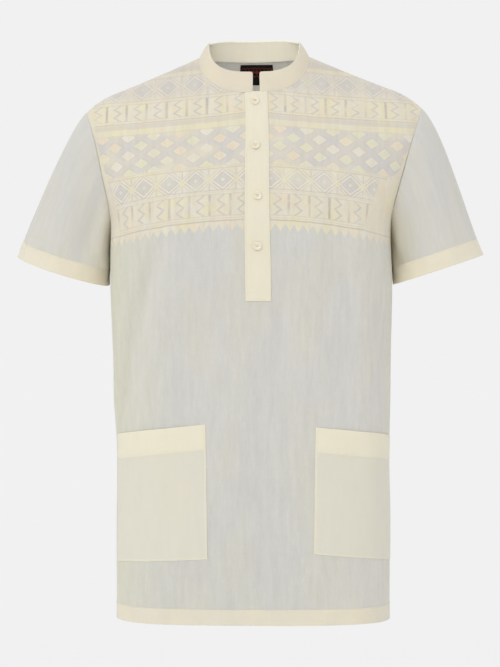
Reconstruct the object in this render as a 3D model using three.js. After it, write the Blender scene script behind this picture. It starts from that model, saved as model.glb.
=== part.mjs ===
// A fatua: a short-sleeved South Asian pullover shirt with a band collar, a half placket and two patch
// pockets, hollow and open at neck, cuffs and hem, in the form that it has on a wearer.
// Millimetres, +Z up, -Y in front, +X to the wearer's left. The origin is the middle of the neck opening,
// level with the high points of the shoulders, from which the garment hangs.
import * as THREE from "three";

// ---------------------------------------------------------------- driving sizes
const CLOTH = 1.3; // wall of one layer of cloth
const DOUBLE = 2.0; // wall of a turned hem
const COLLAR_WALL = 2.4;
const PLACKET_WALL = 1.6;
const POCKET_WALL = 1.2;
const POCKET_HEM_STEP = 0.6; // how far the pocket's turned top stands proud of the rest of it
const SEAM_GAP = 0.3; // between two pieces that are sewn edge to edge
const ARMHOLE_GAP = 0.25; // by which a sleeve also stands out from the armhole
const LIFT = 0.3; // between a panel and a piece that lies on it

const HEM_Z = -780.5;
const HEM_BAND = 22;
const UNDERARM_Z = -255;
const SHOULDER_X = 234; // from the centre to the top of the armhole
const NECK_HALF = 76;
const NECK_DROP = 56; // of the neckline at the centre front, below the shoulder's high point
const NECK_RISE = -1; // of the neckline at the centre back
const NECK_ROUND = { front: 2.3, back: 2 }; // exponents of the neckline's two curves
const SQUARE = 3; // exponent of the body's rounded section

const SHOULDER_SLOPE = 0.41;
const SHOULDER_NECK_ROUND = 25;
const SHOULDER_END_FROM = 195; // where the shoulder begins to round off towards the sleeve
const SHOULDER_END_ROUND = 0.0067;
const SHOULDER_SAG = 1.8; // of the shoulder line, half way along it
const ARCH_HEIGHT = 255; // how far below the shoulder line the body reaches its full depth
const YOKE_SPREAD = 4; // growth of the body's half width per mm of height above the armhole's top

// The body tube's half width.
const WIDTH = [
  { z: HEM_Z, half: 190.3 },
  { z: -640, half: 190.1 },
  { z: -524, half: 190.1 },
  { z: -423, half: 193.2 },
  { z: -322, half: 196.2 },
  { z: UNDERARM_Z, half: 195 },
];
// The body's depth in front of and behind the shoulder line.
const DEPTH = [
  { z: HEM_Z, front: 120, back: 107 },
  { z: -640, front: 118, back: 103 },
  { z: -500, front: 118, back: 98 },
  { z: -400, front: 120, back: 99 },
  { z: -255, front: 121, back: 106 },
  { z: -150, front: 114, back: 108 },
  { z: -58, front: 105, back: 102 },
  { z: 0, front: 100, back: 99 },
];
// The armhole seam's distance from the centre, and how far it swings forward and back between its two ends.
const ARMHOLE = [
  { z: UNDERARM_Z, x: 195 },
  { z: -225, x: 194.8 },
  { z: -178, x: 206.5 },
  { z: -150, x: 213.5 },
  { z: -112, x: 223.5 },
  { z: -74, x: SHOULDER_X },
];
const ARMHOLE_SWING = { front: 54, back: 60 };
// How the garment has settled on its wearer: a shift to the wearer's left, and the rise on that side per mm.
const SETTLE = [
  { z: HEM_Z, shift: -0.4, roll: -0.004 },
  { z: -524, shift: -0.4, roll: 0 },
  { z: -423, shift: -2, roll: 0.001 },
  { z: -300, shift: -3.4, roll: 0.003 },
  { z: -255, shift: -4.2, roll: 0.005 },
  { z: -180, shift: -2, roll: 0.006 },
  { z: -100, shift: 0.7, roll: 0.012 },
  { z: 30, shift: 0.9, roll: 0.012 },
];

// Each cuff's ring, with x away from the body: its centre, and its half axes outwards and forwards.
const CUFFS = {
  right: { centre: [262.5, -2, -298], across: [64, 0, 20.5], through: [0, -57, -7] },
  left: { centre: [262, -2, -298], across: [63.5, 0, 20.5], through: [0, -57, -1] },
};
const CUFF_BAND = 24;
const CUFF_FLARE = { mean: 0.215, swing: 0.165, down: 0.95 }; // direction of the cloth at the cuff
// The direction in which the sleeve leaves the armhole, by height up it from 0, underarm, to 1, shoulder.
const SLEEVE_HEAD = [
  { z: 0, out: 0.1, down: 0.99 },
  { z: 0.2, out: 0.5, down: 0.84 },
  { z: 0.5, out: 0.78, down: 0.6 },
  { z: 0.8, out: 0.82, down: 0.57 },
  { z: 1, out: 0.74, down: 0.68 },
];
const SLEEVE_HEAD_SWING = 0.22; // how far it also turns forward at the front and back at the back
const SLEEVE_PULL = { start: 0.52, end: 0.76 }; // how strongly each end's direction holds

// The collar's rise from neckline to top edge, at the front, the sides and the back.
const COLLAR_RISE = {
  front: { inward: 0, y: 9, z: 28.5 },
  side: { inward: 12.5, y: -3, z: 22.5 },
  back: { inward: 0, y: -4, z: 28.5 },
};
const COLLAR_ENDS = { right: -2.3, left: 7.4 }; // x of the two ends, which don't meet
const COLLAR_CORNER = 1.6; // how far the ends' top corners are rounded down
const COLLAR_FIT = { proud: 0.2, gap: 0.8 }; // how it stands clear of the body at the neck seam

// The placket's two edges and the slit under it, at the neckline and at its lower end.
const PLACKET = {
  neck: { right: -12.9, left: 17.6, slit: 2 },
  base: { right: -7.6, left: 25.7, slit: 6 },
  end: -343,
};
const SLIT_HALF = 1.5;
// "rim" is the rim's width, "dish" the depth of the face below it, "edge" how much the edges are rounded.
const BUTTON = { radius: 5.8, thick: 2.4, rim: 1.3, dish: 0.5, edge: 0.5 };
const BUTTONS = [
  { x: 1.9, z: -69.5 },
  { x: 2.5, z: -131.3 },
  { x: 5.2, z: -200.4 },
  { x: 4.9, z: -268.6 },
];

// Each patch pocket, by distances round the body from the centre front, and the heights of its corners.
// "slant" is how much nearer the centre its inner edge is at the base than at the top.
const POCKETS = {
  right: { inner: 64.5, width: 150, slant: 2.4, topIn: -509, topOut: -525, baseIn: -691.5, baseOut: -700 },
  left: { inner: 84, width: 150, slant: 2.6, topIn: -513, topOut: -528, baseIn: -684.5, baseOut: -699 },
};
const POCKET_HEM = 34;
const POCKET_STEP_RUN = 1.7; // height over which the pocket's turned top rises from the rest
const POCKET_SIDE = { top: -528, base: -700 }; // the same two lines where they reach the side seam

const PLACKET_TOP_GAP = 0.4; // of the placket's top from the neckline, as a share of the panel's last row
const LABEL = { middle: 3.5, half: 22, top: -5, base: -32, wall: 0.6 };

// Soft folds: where each lies, how it leans from upright in degrees, how long, wide and deep it is.
// "across" is measured round the body from the centre, and a negative depth is a trough.
const FOLDS = {
  front: [
    { across: -232, z: -430, lean: 14, long: 90, wide: 14, deep: 3.2 },
    { across: -205, z: -360, lean: 6, long: 130, wide: 20, deep: -2.6 },
    { across: -150, z: -640, lean: 2, long: 190, wide: 24, deep: 2.4 },
    { across: -95, z: -420, lean: -3, long: 170, wide: 26, deep: -2.2 },
    { across: -120, z: -300, lean: 10, long: 80, wide: 20, deep: 2.2 },
    { across: -30, z: -560, lean: -2, long: 190, wide: 26, deep: 2.2 },
    { across: 34, z: -470, lean: 2, long: 180, wide: 22, deep: -2.4 },
    { across: 78, z: -330, lean: -5, long: 150, wide: 24, deep: 2.4 },
    { across: 132, z: -292, lean: -16, long: 75, wide: 17, deep: -2.8 },
    { across: 165, z: -420, lean: -3, long: 170, wide: 22, deep: 2.6 },
    { across: 225, z: -470, lean: -8, long: 120, wide: 18, deep: -2.8 },
  ],
  back: [
    { across: -215, z: -400, lean: 8, long: 130, wide: 20, deep: 3 },
    { across: -140, z: -560, lean: 3, long: 200, wide: 26, deep: -2.8 },
    { across: -60, z: -470, lean: -2, long: 230, wide: 28, deep: 2.8 },
    { across: -105, z: -215, lean: 18, long: 60, wide: 18, deep: -2 },
    { across: 20, z: -600, lean: 2, long: 190, wide: 28, deep: -2.6 },
    { across: 95, z: -440, lean: -3, long: 210, wide: 26, deep: 3 },
    { across: 112, z: -225, lean: -16, long: 65, wide: 18, deep: 2.2 },
    { across: 160, z: -620, lean: -2, long: 170, wide: 26, deep: -2.6 },
    { across: 220, z: -380, lean: -9, long: 120, wide: 20, deep: 2.8 },
  ],
};
const FOLD_FADE = { from: 4, to: 40 }; // distances in front of the side seam over which folds grow
const ROUND_SHARE = 0.68; // of the body's drop in depth that counts towards the distance round it
// Sleeve folds run from armhole to cuff: at which turn round the sleeve, in degrees from the underarm and
// forwards positive, from where to where along it, how wide in degrees, how deep.
const SLEEVE_FOLDS = [
  { turn: 62, from: 0.1, to: 0.95, wide: 11, deep: -2.6 },
  { turn: 104, from: 0.25, to: 1, wide: 13, deep: 2.2 },
  { turn: 40, from: 0.2, to: 0.9, wide: 9, deep: 2 },
  { turn: -70, from: 0.1, to: 0.95, wide: 12, deep: -2.6 },
  { turn: -112, from: 0.2, to: 1, wide: 13, deep: 2.2 },
];
const SLEEVE_FOLD_FADE = 0.3; // share of the sleeve over which a fold starts or ends
const CUFF_FOLD_SHARE = 0.8; // of a fold's depth that is left at the cuff's edge

// Colours of the cloth, its cream doubled parts, the buttons and the woven label.
const GREY_CLOTH = { color: 0xd0cfc6, roughness: 0.9, metalness: 0 };
const CREAM_CLOTH = { color: 0xe6dcc2, roughness: 0.88, metalness: 0 };
const PEARL = { color: 0xe9e0cb, roughness: 0.35, metalness: 0 };
const LABEL_CLOTH = { color: 0x1c1614, roughness: 0.8, metalness: 0 };

// ---------------------------------------------------------------- grid of the panels
const NECK_COLUMNS = 8; // in each half of a neckline
const SHOULDER_COLUMNS = 8;
const HALF_COLUMNS = NECK_COLUMNS + SHOULDER_COLUMNS;
const POCKET_FIRST = 4; // column at a pocket's inner edge
const POCKET_LAST = 14;
const SHOULDER_CROWD = 1.3; // above 1, the columns stand closer towards the armhole
const ROWS = { hem: 1, skirt: 2, pocket: 5, pocketHem: 1, waist: 4, chest: 2, arm: 14 };
const HEM_ROW = ROWS.hem;
const POCKET_BASE_ROW = HEM_ROW + ROWS.skirt;
const POCKET_HEM_ROW = POCKET_BASE_ROW + ROWS.pocket;
const POCKET_TOP_ROW = POCKET_HEM_ROW + ROWS.pocketHem;
const PLACKET_ROW = POCKET_TOP_ROW + ROWS.waist;
const LOW_ROWS = PLACKET_ROW + ROWS.chest;
const NECK_ROW = LOW_ROWS + ROWS.arm;
const SLEEVE_ROWS = 9;
const SLEEVE_COLUMNS = 2 * ROWS.arm;
const COLLAR_ROWS = 3;
const BUTTON_SIDES = 20;
const ARC_STEPS = 160;
const NECK_STEPS = 80;
const EDGE_BAND = 4; // within this distance of a seam a panel counts as facing sideways
const PROBE = 0.5; // step for measuring a slope
const WELD_COSINE = 0.5; // panels that face within 60 degrees of each other share their normals at a seam
const CORNER_COSINE = 0.7; // edges that turn more than this at a point make it a corner
const BODY_INSIDE = [0, 0, -200]; // points well inside the body and a sleeve
const SLEEVE_INSIDE = [240, 0, -230];

const v = (x, y, z) => new THREE.Vector3(x, y, z);
const lerp = THREE.MathUtils.lerp;
const smooth = THREE.MathUtils.smoothstep;
const clamp = THREE.MathUtils.clamp;
const radians = THREE.MathUtils.degToRad;

function hermite(a, b, slopeA, slopeB, t) {
  const ease = t * t * (3 - 2 * t);
  return lerp(a, b, ease) + t * (1 - t) * ((1 - t) * slopeA - t * slopeB);
}

// A smooth curve through one column of a table whose rows go up in z.
function lookup(table, key, z) {
  const last = table.length - 1;
  if (z <= table[0].z) return table[0][key];
  if (z >= table[last].z) return table[last][key];
  let i = 0;
  while (table[i + 1].z < z) i += 1;
  const slope = (k) => {
    const low = table[Math.max(k - 1, 0)];
    const high = table[Math.min(k + 1, last)];
    return (high[key] - low[key]) / (high.z - low.z);
  };
  const span = table[i + 1].z - table[i].z;
  const t = (z - table[i].z) / span;
  return hermite(table[i][key], table[i + 1][key], slope(i) * span, slope(i + 1) * span, t);
}

// ---------------------------------------------------------------- the body's form
// Height of the shoulder line, where front and back meet.
function ridge(x) {
  const far = Math.hypot(x, SHOULDER_NECK_ROUND) - Math.hypot(NECK_HALF, SHOULDER_NECK_ROUND);
  const over = Math.max(0, Math.abs(x) - SHOULDER_END_FROM);
  const along = clamp((Math.abs(x) - NECK_HALF) / (SHOULDER_X - NECK_HALF), 0, 1);
  const sag = SHOULDER_SAG * Math.sin(Math.PI * along);
  return -SHOULDER_SLOPE * far - SHOULDER_END_ROUND * over * over - sag;
}
const SHOULDER_Z = ridge(SHOULDER_X);
const ARM_MIDDLE = (UNDERARM_Z + SHOULDER_Z) / 2;
const ARM_HALF = (SHOULDER_Z - UNDERARM_Z) / 2;

// Share of its full depth that the body has at a drop below the shoulder line.
function arch(drop) {
  const t = clamp(drop / ARCH_HEIGHT, 0, 1);
  return Math.sqrt(1 - (1 - t) * (1 - t));
}

// Half width of the section at z. Above the underarm that section passes through the armhole seam.
function halfWidth(side, z) {
  if (z <= UNDERARM_Z) return lookup(WIDTH, "half", z);
  const seamZ = Math.min(z, SHOULDER_Z - 1);
  const x = lookup(ARMHOLE, "x", seamZ);
  const y = ARMHOLE_SWING[side] * Math.sin(Math.acos((ARM_MIDDLE - seamZ) / ARM_HALF));
  const full = lookup(DEPTH, side, seamZ) * arch(ridge(x) - seamZ);
  return x / (1 - (y / full) ** SQUARE) ** (1 / SQUARE) + YOKE_SPREAD * (z - seamZ);
}

const outward = (side) => (side === "front" ? -1 : 1);

// The body's surface at x and z, before folds.
function bodyAt(side, x, z) {
  const across = Math.min(1, Math.abs(x) / halfWidth(side, z));
  const lateral = (1 - across ** SQUARE) ** (1 / SQUARE);
  return v(x, outward(side) * lookup(DEPTH, side, z) * lateral * arch(ridge(x) - z), z);
}

// The place, as a share of the last of these growing lengths' steps, at which a length is reached.
function placeOf(lengths, wanted) {
  const last = lengths.length - 1;
  let i = 1;
  while (i < last && lengths[i] < wanted) i += 1;
  return (i - 1 + (wanted - lengths[i - 1]) / (lengths[i] - lengths[i - 1])) / last;
}

// A quarter of the body's rounded section at a turn from the centre, 0, to the side seam, 1.
function quarter(side, z, turn) {
  const angle = (Math.PI / 2) * turn;
  const x = halfWidth(side, z) * Math.sin(angle) ** (2 / SQUARE);
  return [x, turn >= 1 ? 0 : lookup(DEPTH, side, z) * Math.cos(angle) ** (2 / SQUARE)];
}

function quarterLengths(side, z) {
  const lengths = [0];
  let [x, y] = quarter(side, z, 0);
  for (let i = 1; i <= ARC_STEPS; i += 1) {
    const [nextX, nextY] = quarter(side, z, i / ARC_STEPS);
    lengths.push(lengths[i - 1] + Math.hypot(nextX - x, nextY - y));
    [x, y] = [nextX, nextY];
  }
  return lengths;
}

// The body's surface at a share of the way round the section at z, from the centre, 0, to the side seam, 1.
function bodyRound(side, share, z) {
  const lengths = quarterLengths(side, z);
  const [x, y] = quarter(side, z, placeOf(lengths, Math.abs(share) * lengths.at(-1)));
  return v(Math.sign(share) * x, outward(side) * y * arch(ridge(x) - z), z);
}

// How far folds move the cloth outwards.
function foldAt(side, p) {
  const depth = lookup(DEPTH, side, p.z) * arch(ridge(p.x) - p.z);
  const across = Math.sign(p.x) * (Math.abs(p.x) + ROUND_SHARE * (depth - Math.abs(p.y)));
  let sum = 0;
  for (const f of FOLDS[side]) {
    const a = radians(f.lean);
    const along = ((p.z - f.z) * Math.cos(a) + (across - f.across) * Math.sin(a)) / f.long;
    const over = ((across - f.across) * Math.cos(a) - (p.z - f.z) * Math.sin(a)) / f.wide;
    sum += f.deep * Math.exp(-(over ** 2) - along ** 4);
  }
  return sum * smooth(Math.abs(p.y), FOLD_FADE.from, FOLD_FADE.to);
}

// The whole garment's sideways shift and roll.
function settle(p) {
  return v(p.x + lookup(SETTLE, "shift", p.z), p.y, p.z + lookup(SETTLE, "roll", p.z) * p.x);
}

// ---------------------------------------------------------------- panels as grids of points
// A panel's points[row][column] lie on its outer face. "wraps" closes its rows to rings, "skip" leaves out
// cells, "gap" is twice what its outline is drawn in, and "alone" keeps its own normals at its seams.

// Columns count from the centre, negative on the wearer's right. The front's slit takes column 0's place.
function columnsOf(side) {
  const list = [];
  for (let k = -HALF_COLUMNS; k <= HALF_COLUMNS; k += 1) {
    if (side === "front" && k === 0) {
      list.push({ k: 0, edge: -SLIT_HALF }, { k: 0, edge: SLIT_HALF });
    } else {
      list.push({ k, edge: 0 });
    }
  }
  return list;
}

const FRONT_LENGTH = quarterLengths("front", -600).at(-1);

// Distance round from the centre front at which a column of the lower front stands.
function lowDistance(column, row) {
  const n = Math.abs(column.k);
  const pocket = column.k < 0 ? POCKETS.right : POCKETS.left;
  const edge = column.k < 0 ? -PLACKET.base.right : PLACKET.base.left;
  const drop = clamp((POCKET_TOP_ROW - row) / (POCKET_TOP_ROW - POCKET_BASE_ROW), 0, 1);
  const inner = pocket.inner - pocket.slant * drop;
  const outer = pocket.inner + pocket.width;
  if (n <= POCKET_FIRST) return lerp(edge, inner, (n - 1) / (POCKET_FIRST - 1));
  if (n <= POCKET_LAST) return lerp(inner, outer, (n - POCKET_FIRST) / (POCKET_LAST - POCKET_FIRST));
  return lerp(outer, FRONT_LENGTH, (n - POCKET_LAST) / (HALF_COLUMNS - POCKET_LAST));
}

// Share of the way round to the side seam at which a column of the lower body stands.
function lowShare(side, column, row) {
  if (side === "back") return column.k / HALF_COLUMNS;
  if (column.k === 0) return (PLACKET.base.slit + column.edge) / FRONT_LENGTH;
  return (Math.sign(column.k) * lowDistance(column, row)) / FRONT_LENGTH;
}

// Where a column ends at the top: on the neckline or on the shoulder seam.
function neckPoint(side, x) {
  const power = NECK_ROUND[side];
  const cosine = Math.max(0, 1 - Math.abs(x / NECK_HALF) ** power) ** (1 / power);
  const z = cosine * (side === "front" ? -NECK_DROP : NECK_RISE);
  return Math.abs(x) >= NECK_HALF ? v(x, 0, 0) : bodyAt(side, x, z);
}

// The x at a share of the way along the neckline from one x to the shoulder's end of it.
function neckStation(side, from, share) {
  const start = Math.asin(from / NECK_HALF);
  const at = (i) => NECK_HALF * Math.sin(lerp(start, Math.PI / 2, i / NECK_STEPS));
  const lengths = [0];
  for (let i = 1; i <= NECK_STEPS; i += 1) {
    lengths.push(lengths[i - 1] + neckPoint(side, at(i)).distanceTo(neckPoint(side, at(i - 1))));
  }
  return at(NECK_STEPS * placeOf(lengths, share * lengths.at(-1)));
}

function topPoint(side, column) {
  const n = Math.abs(column.k);
  if (n > NECK_COLUMNS) {
    const along = 1 - (1 - (n - NECK_COLUMNS) / SHOULDER_COLUMNS) ** SHOULDER_CROWD;
    const x = lerp(NECK_HALF, SHOULDER_X, along);
    return v(Math.sign(column.k) * x, 0, ridge(x));
  }
  if (n === 0) return neckPoint(side, side === "front" ? PLACKET.neck.slit + column.edge : 0);
  if (n === NECK_COLUMNS) return neckPoint(side, Math.sign(column.k) * NECK_HALF);
  if (side === "back") return neckPoint(side, Math.sign(column.k) * neckStation(side, 0, n / NECK_COLUMNS));
  const edge = column.k < 0 ? -PLACKET.neck.right : PLACKET.neck.left;
  return neckPoint(side, Math.sign(column.k) * neckStation(side, edge, (n - 1) / (NECK_COLUMNS - 1)));
}

// Height of the pocket's top or base line at a share of the way round from the centre.
function pocketLine(line, share) {
  const far = Math.abs(share) * FRONT_LENGTH;
  const inside = (p) => p[line + "In"];
  const pocket = share < 0 ? POCKETS.right : POCKETS.left;
  if (far <= pocket.inner) {
    const t = (share * FRONT_LENGTH + POCKETS.right.inner) / (POCKETS.right.inner + POCKETS.left.inner);
    return lerp(inside(POCKETS.right), inside(POCKETS.left), t);
  }
  const outer = pocket.inner + pocket.width;
  if (far <= outer) return lerp(inside(pocket), pocket[line + "Out"], (far - pocket.inner) / pocket.width);
  return lerp(pocket[line + "Out"], POCKET_SIDE[line], (far - outer) / (FRONT_LENGTH - outer));
}

// Heights of the rows of the lower body, hem to underarm, at a share of the way round.
function rowHeights(side, share) {
  const level = side === "front" ? share : 1;
  const base = pocketLine("base", level);
  const top = pocketLine("top", level);
  const stops = [
    { z: HEM_Z, rows: ROWS.hem },
    { z: HEM_Z + HEM_BAND, rows: ROWS.skirt },
    { z: base, rows: ROWS.pocket },
    { z: top - POCKET_HEM, rows: ROWS.pocketHem },
    { z: top, rows: ROWS.waist },
    { z: PLACKET.end, rows: ROWS.chest },
    { z: UNDERARM_Z, rows: 0 },
  ];
  const heights = [];
  for (let s = 0; s + 1 < stops.length; s += 1) {
    const { z, rows } = stops[s];
    for (let r = 0; r < rows; r += 1) heights.push(lerp(z, stops[s + 1].z, r / rows));
  }
  return heights;
}
// The share of the height from underarm to top edge, crowded towards both ends.
const armShare = (row) => (1 - Math.cos(Math.PI * (row / ROWS.arm))) / 2;

// The point of a body panel at a column, and at a row counted up from the hem.
function panelPoint(side, column, row) {
  const share = lowShare(side, column, row);
  if (row < LOW_ROWS) return bodyRound(side, share, rowHeights(side, share)[row]);
  const low = bodyRound(side, share, UNDERARM_Z);
  const top = topPoint(side, column);
  if (row === LOW_ROWS) return low;
  if (row === NECK_ROW) return top;
  const w = armShare(row - LOW_ROWS);
  const byPlacket = side === "front" && Math.abs(column.k) <= 1;
  const ease = byPlacket ? w : ((row - LOW_ROWS) / ROWS.arm) ** 2; // the columns fan out from the neck
  const edge = lookup(ARMHOLE, "x", lerp(UNDERARM_Z, SHOULDER_Z, w));
  const reach = (column.k / HALF_COLUMNS) ** 2 * (edge - lerp(WIDTH.at(-1).half, SHOULDER_X, ease));
  const x = lerp(low.x, top.x, ease) + Math.sign(column.k) * reach;
  const height = top.z + ridge(x) - ridge(top.x); // the shoulder line is lower further out
  return bodyAt(side, x, lerp(UNDERARM_Z, height, w));
}

// The surface's own outward direction, for moving folds.
function bodyNormal(side, p) {
  const bySeam = Math.abs(p.x) > halfWidth(side, p.z) - EDGE_BAND || Math.abs(p.y) < EDGE_BAND;
  if (bySeam) return v(Math.sign(p.x), 0, 0);
  const dx = bodyAt(side, p.x + PROBE, p.z).sub(bodyAt(side, p.x - PROBE, p.z));
  const dz = bodyAt(side, p.x, p.z + PROBE).sub(bodyAt(side, p.x, p.z - PROBE));
  const n = dx.cross(dz).normalize();
  return n.y * outward(side) < 0 ? n.negate() : n;
}

function folded(side, p) {
  const amount = foldAt(side, p);
  return amount === 0 ? p : p.clone().addScaledVector(bodyNormal(side, p), amount);
}

// The rows of a body panel from one row to another.
function bodyRows(side, from, to) {
  const points = [];
  for (let row = from; row <= to; row += 1) {
    points.push(columnsOf(side).map((column) => settle(folded(side, panelPoint(side, column, row)))));
  }
  return points;
}

// The seam where a sleeve joins the body, counting from the underarm up the front and down the back.
function armholePoint(hand, index) {
  const side = index <= ROWS.arm ? "front" : "back";
  const row = index <= ROWS.arm ? index : 2 * ROWS.arm - index;
  return panelPoint(side, { k: hand * HALF_COLUMNS }, LOW_ROWS + row);
}

function cuffPoint(hand, turn) {
  const { centre, across, through } = hand > 0 ? CUFFS.left : CUFFS.right;
  const part = (i) => centre[i] - across[i] * Math.cos(turn) + through[i] * Math.sin(turn);
  return v(hand * part(0), part(1), part(2));
}

function cuffDirection(hand, turn) {
  return v(hand * (CUFF_FLARE.mean - CUFF_FLARE.swing * Math.cos(turn)), 0, -CUFF_FLARE.down).normalize();
}

// The sleeve's surface at column index round it and share t from armhole to band.
function sleevePoint(hand, index, t) {
  const turn = Math.PI * (index / ROWS.arm);
  const start = armholePoint(hand, index);
  const finish = cuffPoint(hand, turn).addScaledVector(cuffDirection(hand, turn), -CUFF_BAND);
  const rise = (1 - Math.cos(turn)) / 2;
  const out = hand * lookup(SLEEVE_HEAD, "out", rise);
  const head = v(out, -SLEEVE_HEAD_SWING * Math.sin(turn), -lookup(SLEEVE_HEAD, "down", rise));
  const long = start.distanceTo(finish);
  head.setLength(long * SLEEVE_PULL.start);
  const tail = cuffDirection(hand, turn).setLength(long * SLEEVE_PULL.end);
  const part = (axis) => hermite(start[axis], finish[axis], head[axis], tail[axis], t);
  return v(part("x"), part("y"), part("z"));
}

function sleeveFold(index, t) {
  const turn = 180 * (index / ROWS.arm);
  let sum = 0;
  for (const f of SLEEVE_FOLDS) {
    const away = ((((turn - f.turn + 180) % 360) + 360) % 360) - 180;
    const ended = f.to >= 1 ? 0 : smooth(t, f.to - SLEEVE_FOLD_FADE, f.to);
    const along = smooth(t, f.from, f.from + SLEEVE_FOLD_FADE) * (1 - ended);
    sum += f.deep * along * Math.exp(-((away / f.wide) ** 2));
  }
  return sum;
}

// One ring of the sleeve, its points given by their index, with its folds and its clearance from the body.
function sleeveRing(hand, pointOf, foldOf) {
  const ring = Array.from({ length: SLEEVE_COLUMNS }, (_, i) => pointOf(i));
  const middle = v(0, 0, 0);
  for (const p of ring) middle.addScaledVector(p, 1 / SLEEVE_COLUMNS);
  return ring.map((p, i) => {
    const moved = p.clone().sub(middle).setLength(foldOf(i));
    moved.x += hand * ARMHOLE_GAP;
    return settle(moved.add(p));
  });
}

function sleeveRows(hand) {
  const points = [];
  for (let row = 0; row <= SLEEVE_ROWS; row += 1) {
    const t = row / SLEEVE_ROWS;
    points.push(sleeveRing(hand, (i) => sleevePoint(hand, i, t), (i) => (row ? sleeveFold(i, t) : 0)));
  }
  return points;
}

function cuffRows(hand) {
  const upper = sleeveRows(hand)[SLEEVE_ROWS];
  const foldOf = (i) => CUFF_FOLD_SHARE * sleeveFold(i, 1);
  const lower = sleeveRing(hand, (i) => cuffPoint(hand, Math.PI * (i / ROWS.arm)), foldOf);
  return [upper, upper.map((p, i) => p.clone().lerp(lower[i], 0.5)), lower];
}

// The collar's columns run from its right end round the back to its left end.
function collarColumns() {
  const front = (k) => topPoint("front", { k });
  const back = (k) => topPoint("back", { k });
  const list = [neckPoint("front", COLLAR_ENDS.right)];
  for (let k = 1; k <= NECK_COLUMNS; k += 1) list.push(front(-k));
  for (let k = NECK_COLUMNS - 1; k > -NECK_COLUMNS; k -= 1) list.push(back(-k));
  for (let k = NECK_COLUMNS; k >= 1; k -= 1) list.push(front(k));
  list.push(neckPoint("front", COLLAR_ENDS.left));
  return list;
}

function collarRise(p) {
  const sine = clamp(p.x / NECK_HALF, -1, 1);
  const end = p.y < 0 ? COLLAR_RISE.front : COLLAR_RISE.back;
  const mix = (key) => lerp(end[key], COLLAR_RISE.side[key], sine * sine);
  return v(-Math.sign(p.x) * mix("inward"), mix("y"), mix("z"));
}

function collarRows() {
  const base = collarColumns();
  const rows = [];
  for (let row = 0; row <= COLLAR_ROWS; row += 1) {
    rows.push(
      base.map((p, i) => {
        const corner = row === COLLAR_ROWS && (i === 0 || i === base.length - 1) ? COLLAR_CORNER : 0;
        const top = p.clone().addScaledVector(collarRise(p), row / COLLAR_ROWS);
        return settle(top.add(v(0, 0, -corner)));
      }),
    );
  }
  return rows;
}

// ---------------------------------------------------------------- from grids to solids
const SLIT_COLUMN = HALF_COLUMNS; // index of the slit's right edge among the front's columns
const isSlit = (row, column) => column === SLIT_COLUMN && row >= PLACKET_ROW - HEM_ROW;

const panels = [
  { name: "front", points: bodyRows("front", HEM_ROW, NECK_ROW), skip: isSlit },
  { name: "front_hem", points: bodyRows("front", 0, HEM_ROW), wall: DOUBLE, cream: true },
  { name: "back", points: bodyRows("back", HEM_ROW, NECK_ROW) },
  { name: "back_hem", points: bodyRows("back", 0, HEM_ROW), wall: DOUBLE, cream: true },
  { name: "sleeve_left", hand: 1, points: sleeveRows(1), wraps: true },
  { name: "sleeve_left_hem", hand: 1, points: cuffRows(1), wraps: true, wall: DOUBLE, cream: true },
  { name: "sleeve_right", hand: -1, points: sleeveRows(-1), wraps: true },
  { name: "sleeve_right_hem", hand: -1, points: cuffRows(-1), wraps: true, wall: DOUBLE, cream: true },
  { name: "collar", points: collarRows(), wall: COLLAR_WALL, alone: true, cream: true, ...COLLAR_FIT },
];

// The cells of a grid as [row, column], without those that are skipped.
function cellsOf({ points, wraps, skip }) {
  const cells = [];
  const wide = points[0].length - (wraps ? 0 : 1);
  for (let r = 0; r + 1 < points.length; r += 1) {
    for (let c = 0; c < wide; c += 1) if (!skip || !skip(r, c)) cells.push([r, c]);
  }
  return cells;
}

function cornersOf(panel, [r, c]) {
  const next = (c + 1) % panel.points[0].length;
  return [
    [r, c],
    [r, next],
    [r + 1, next],
    [r + 1, c],
  ];
}

// Each point's normal from the cells round it, turned to face away from the piece's inside.
function gridNormals(panel, inside) {
  const normals = panel.points.map((row) => row.map(() => v(0, 0, 0)));
  for (const cell of cellsOf(panel)) {
    const corners = cornersOf(panel, cell);
    const [a, b, c, d] = corners.map(([r, k]) => panel.points[r][k]);
    const n = c.clone().sub(a).cross(d.clone().sub(b));
    for (const [r, k] of corners) normals[r][k].add(n);
  }
  let facing = 0;
  normals.forEach((row, r) => {
    row.forEach((n, k) => (facing += n.dot(panel.points[r][k].clone().sub(inside))));
  });
  return normals.map((row) => row.map((n) => n.normalize().multiplyScalar(facing < 0 ? -1 : 1)));
}

// Where two panels share a point and face nearly the same way, they also share its normal.
function weldNormals(list) {
  const places = new Map();
  for (const panel of list) {
    panel.points.forEach((row, r) =>
      row.forEach((p, k) => {
        const key = [p.x, p.y, p.z].map((value) => Math.round(value * 100)).join();
        if (!places.has(key)) places.set(key, []);
        places.get(key).push({ panel, r, k, own: panel.normals[r][k].clone() });
      }),
    );
  }
  for (const group of places.values()) {
    for (const entry of group) {
      const sum = v(0, 0, 0);
      for (const other of group) if (entry.own.dot(other.own) > WELD_COSINE) sum.add(other.own);
      entry.panel.normals[entry.r][entry.k] = sum.normalize();
    }
  }
}

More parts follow.
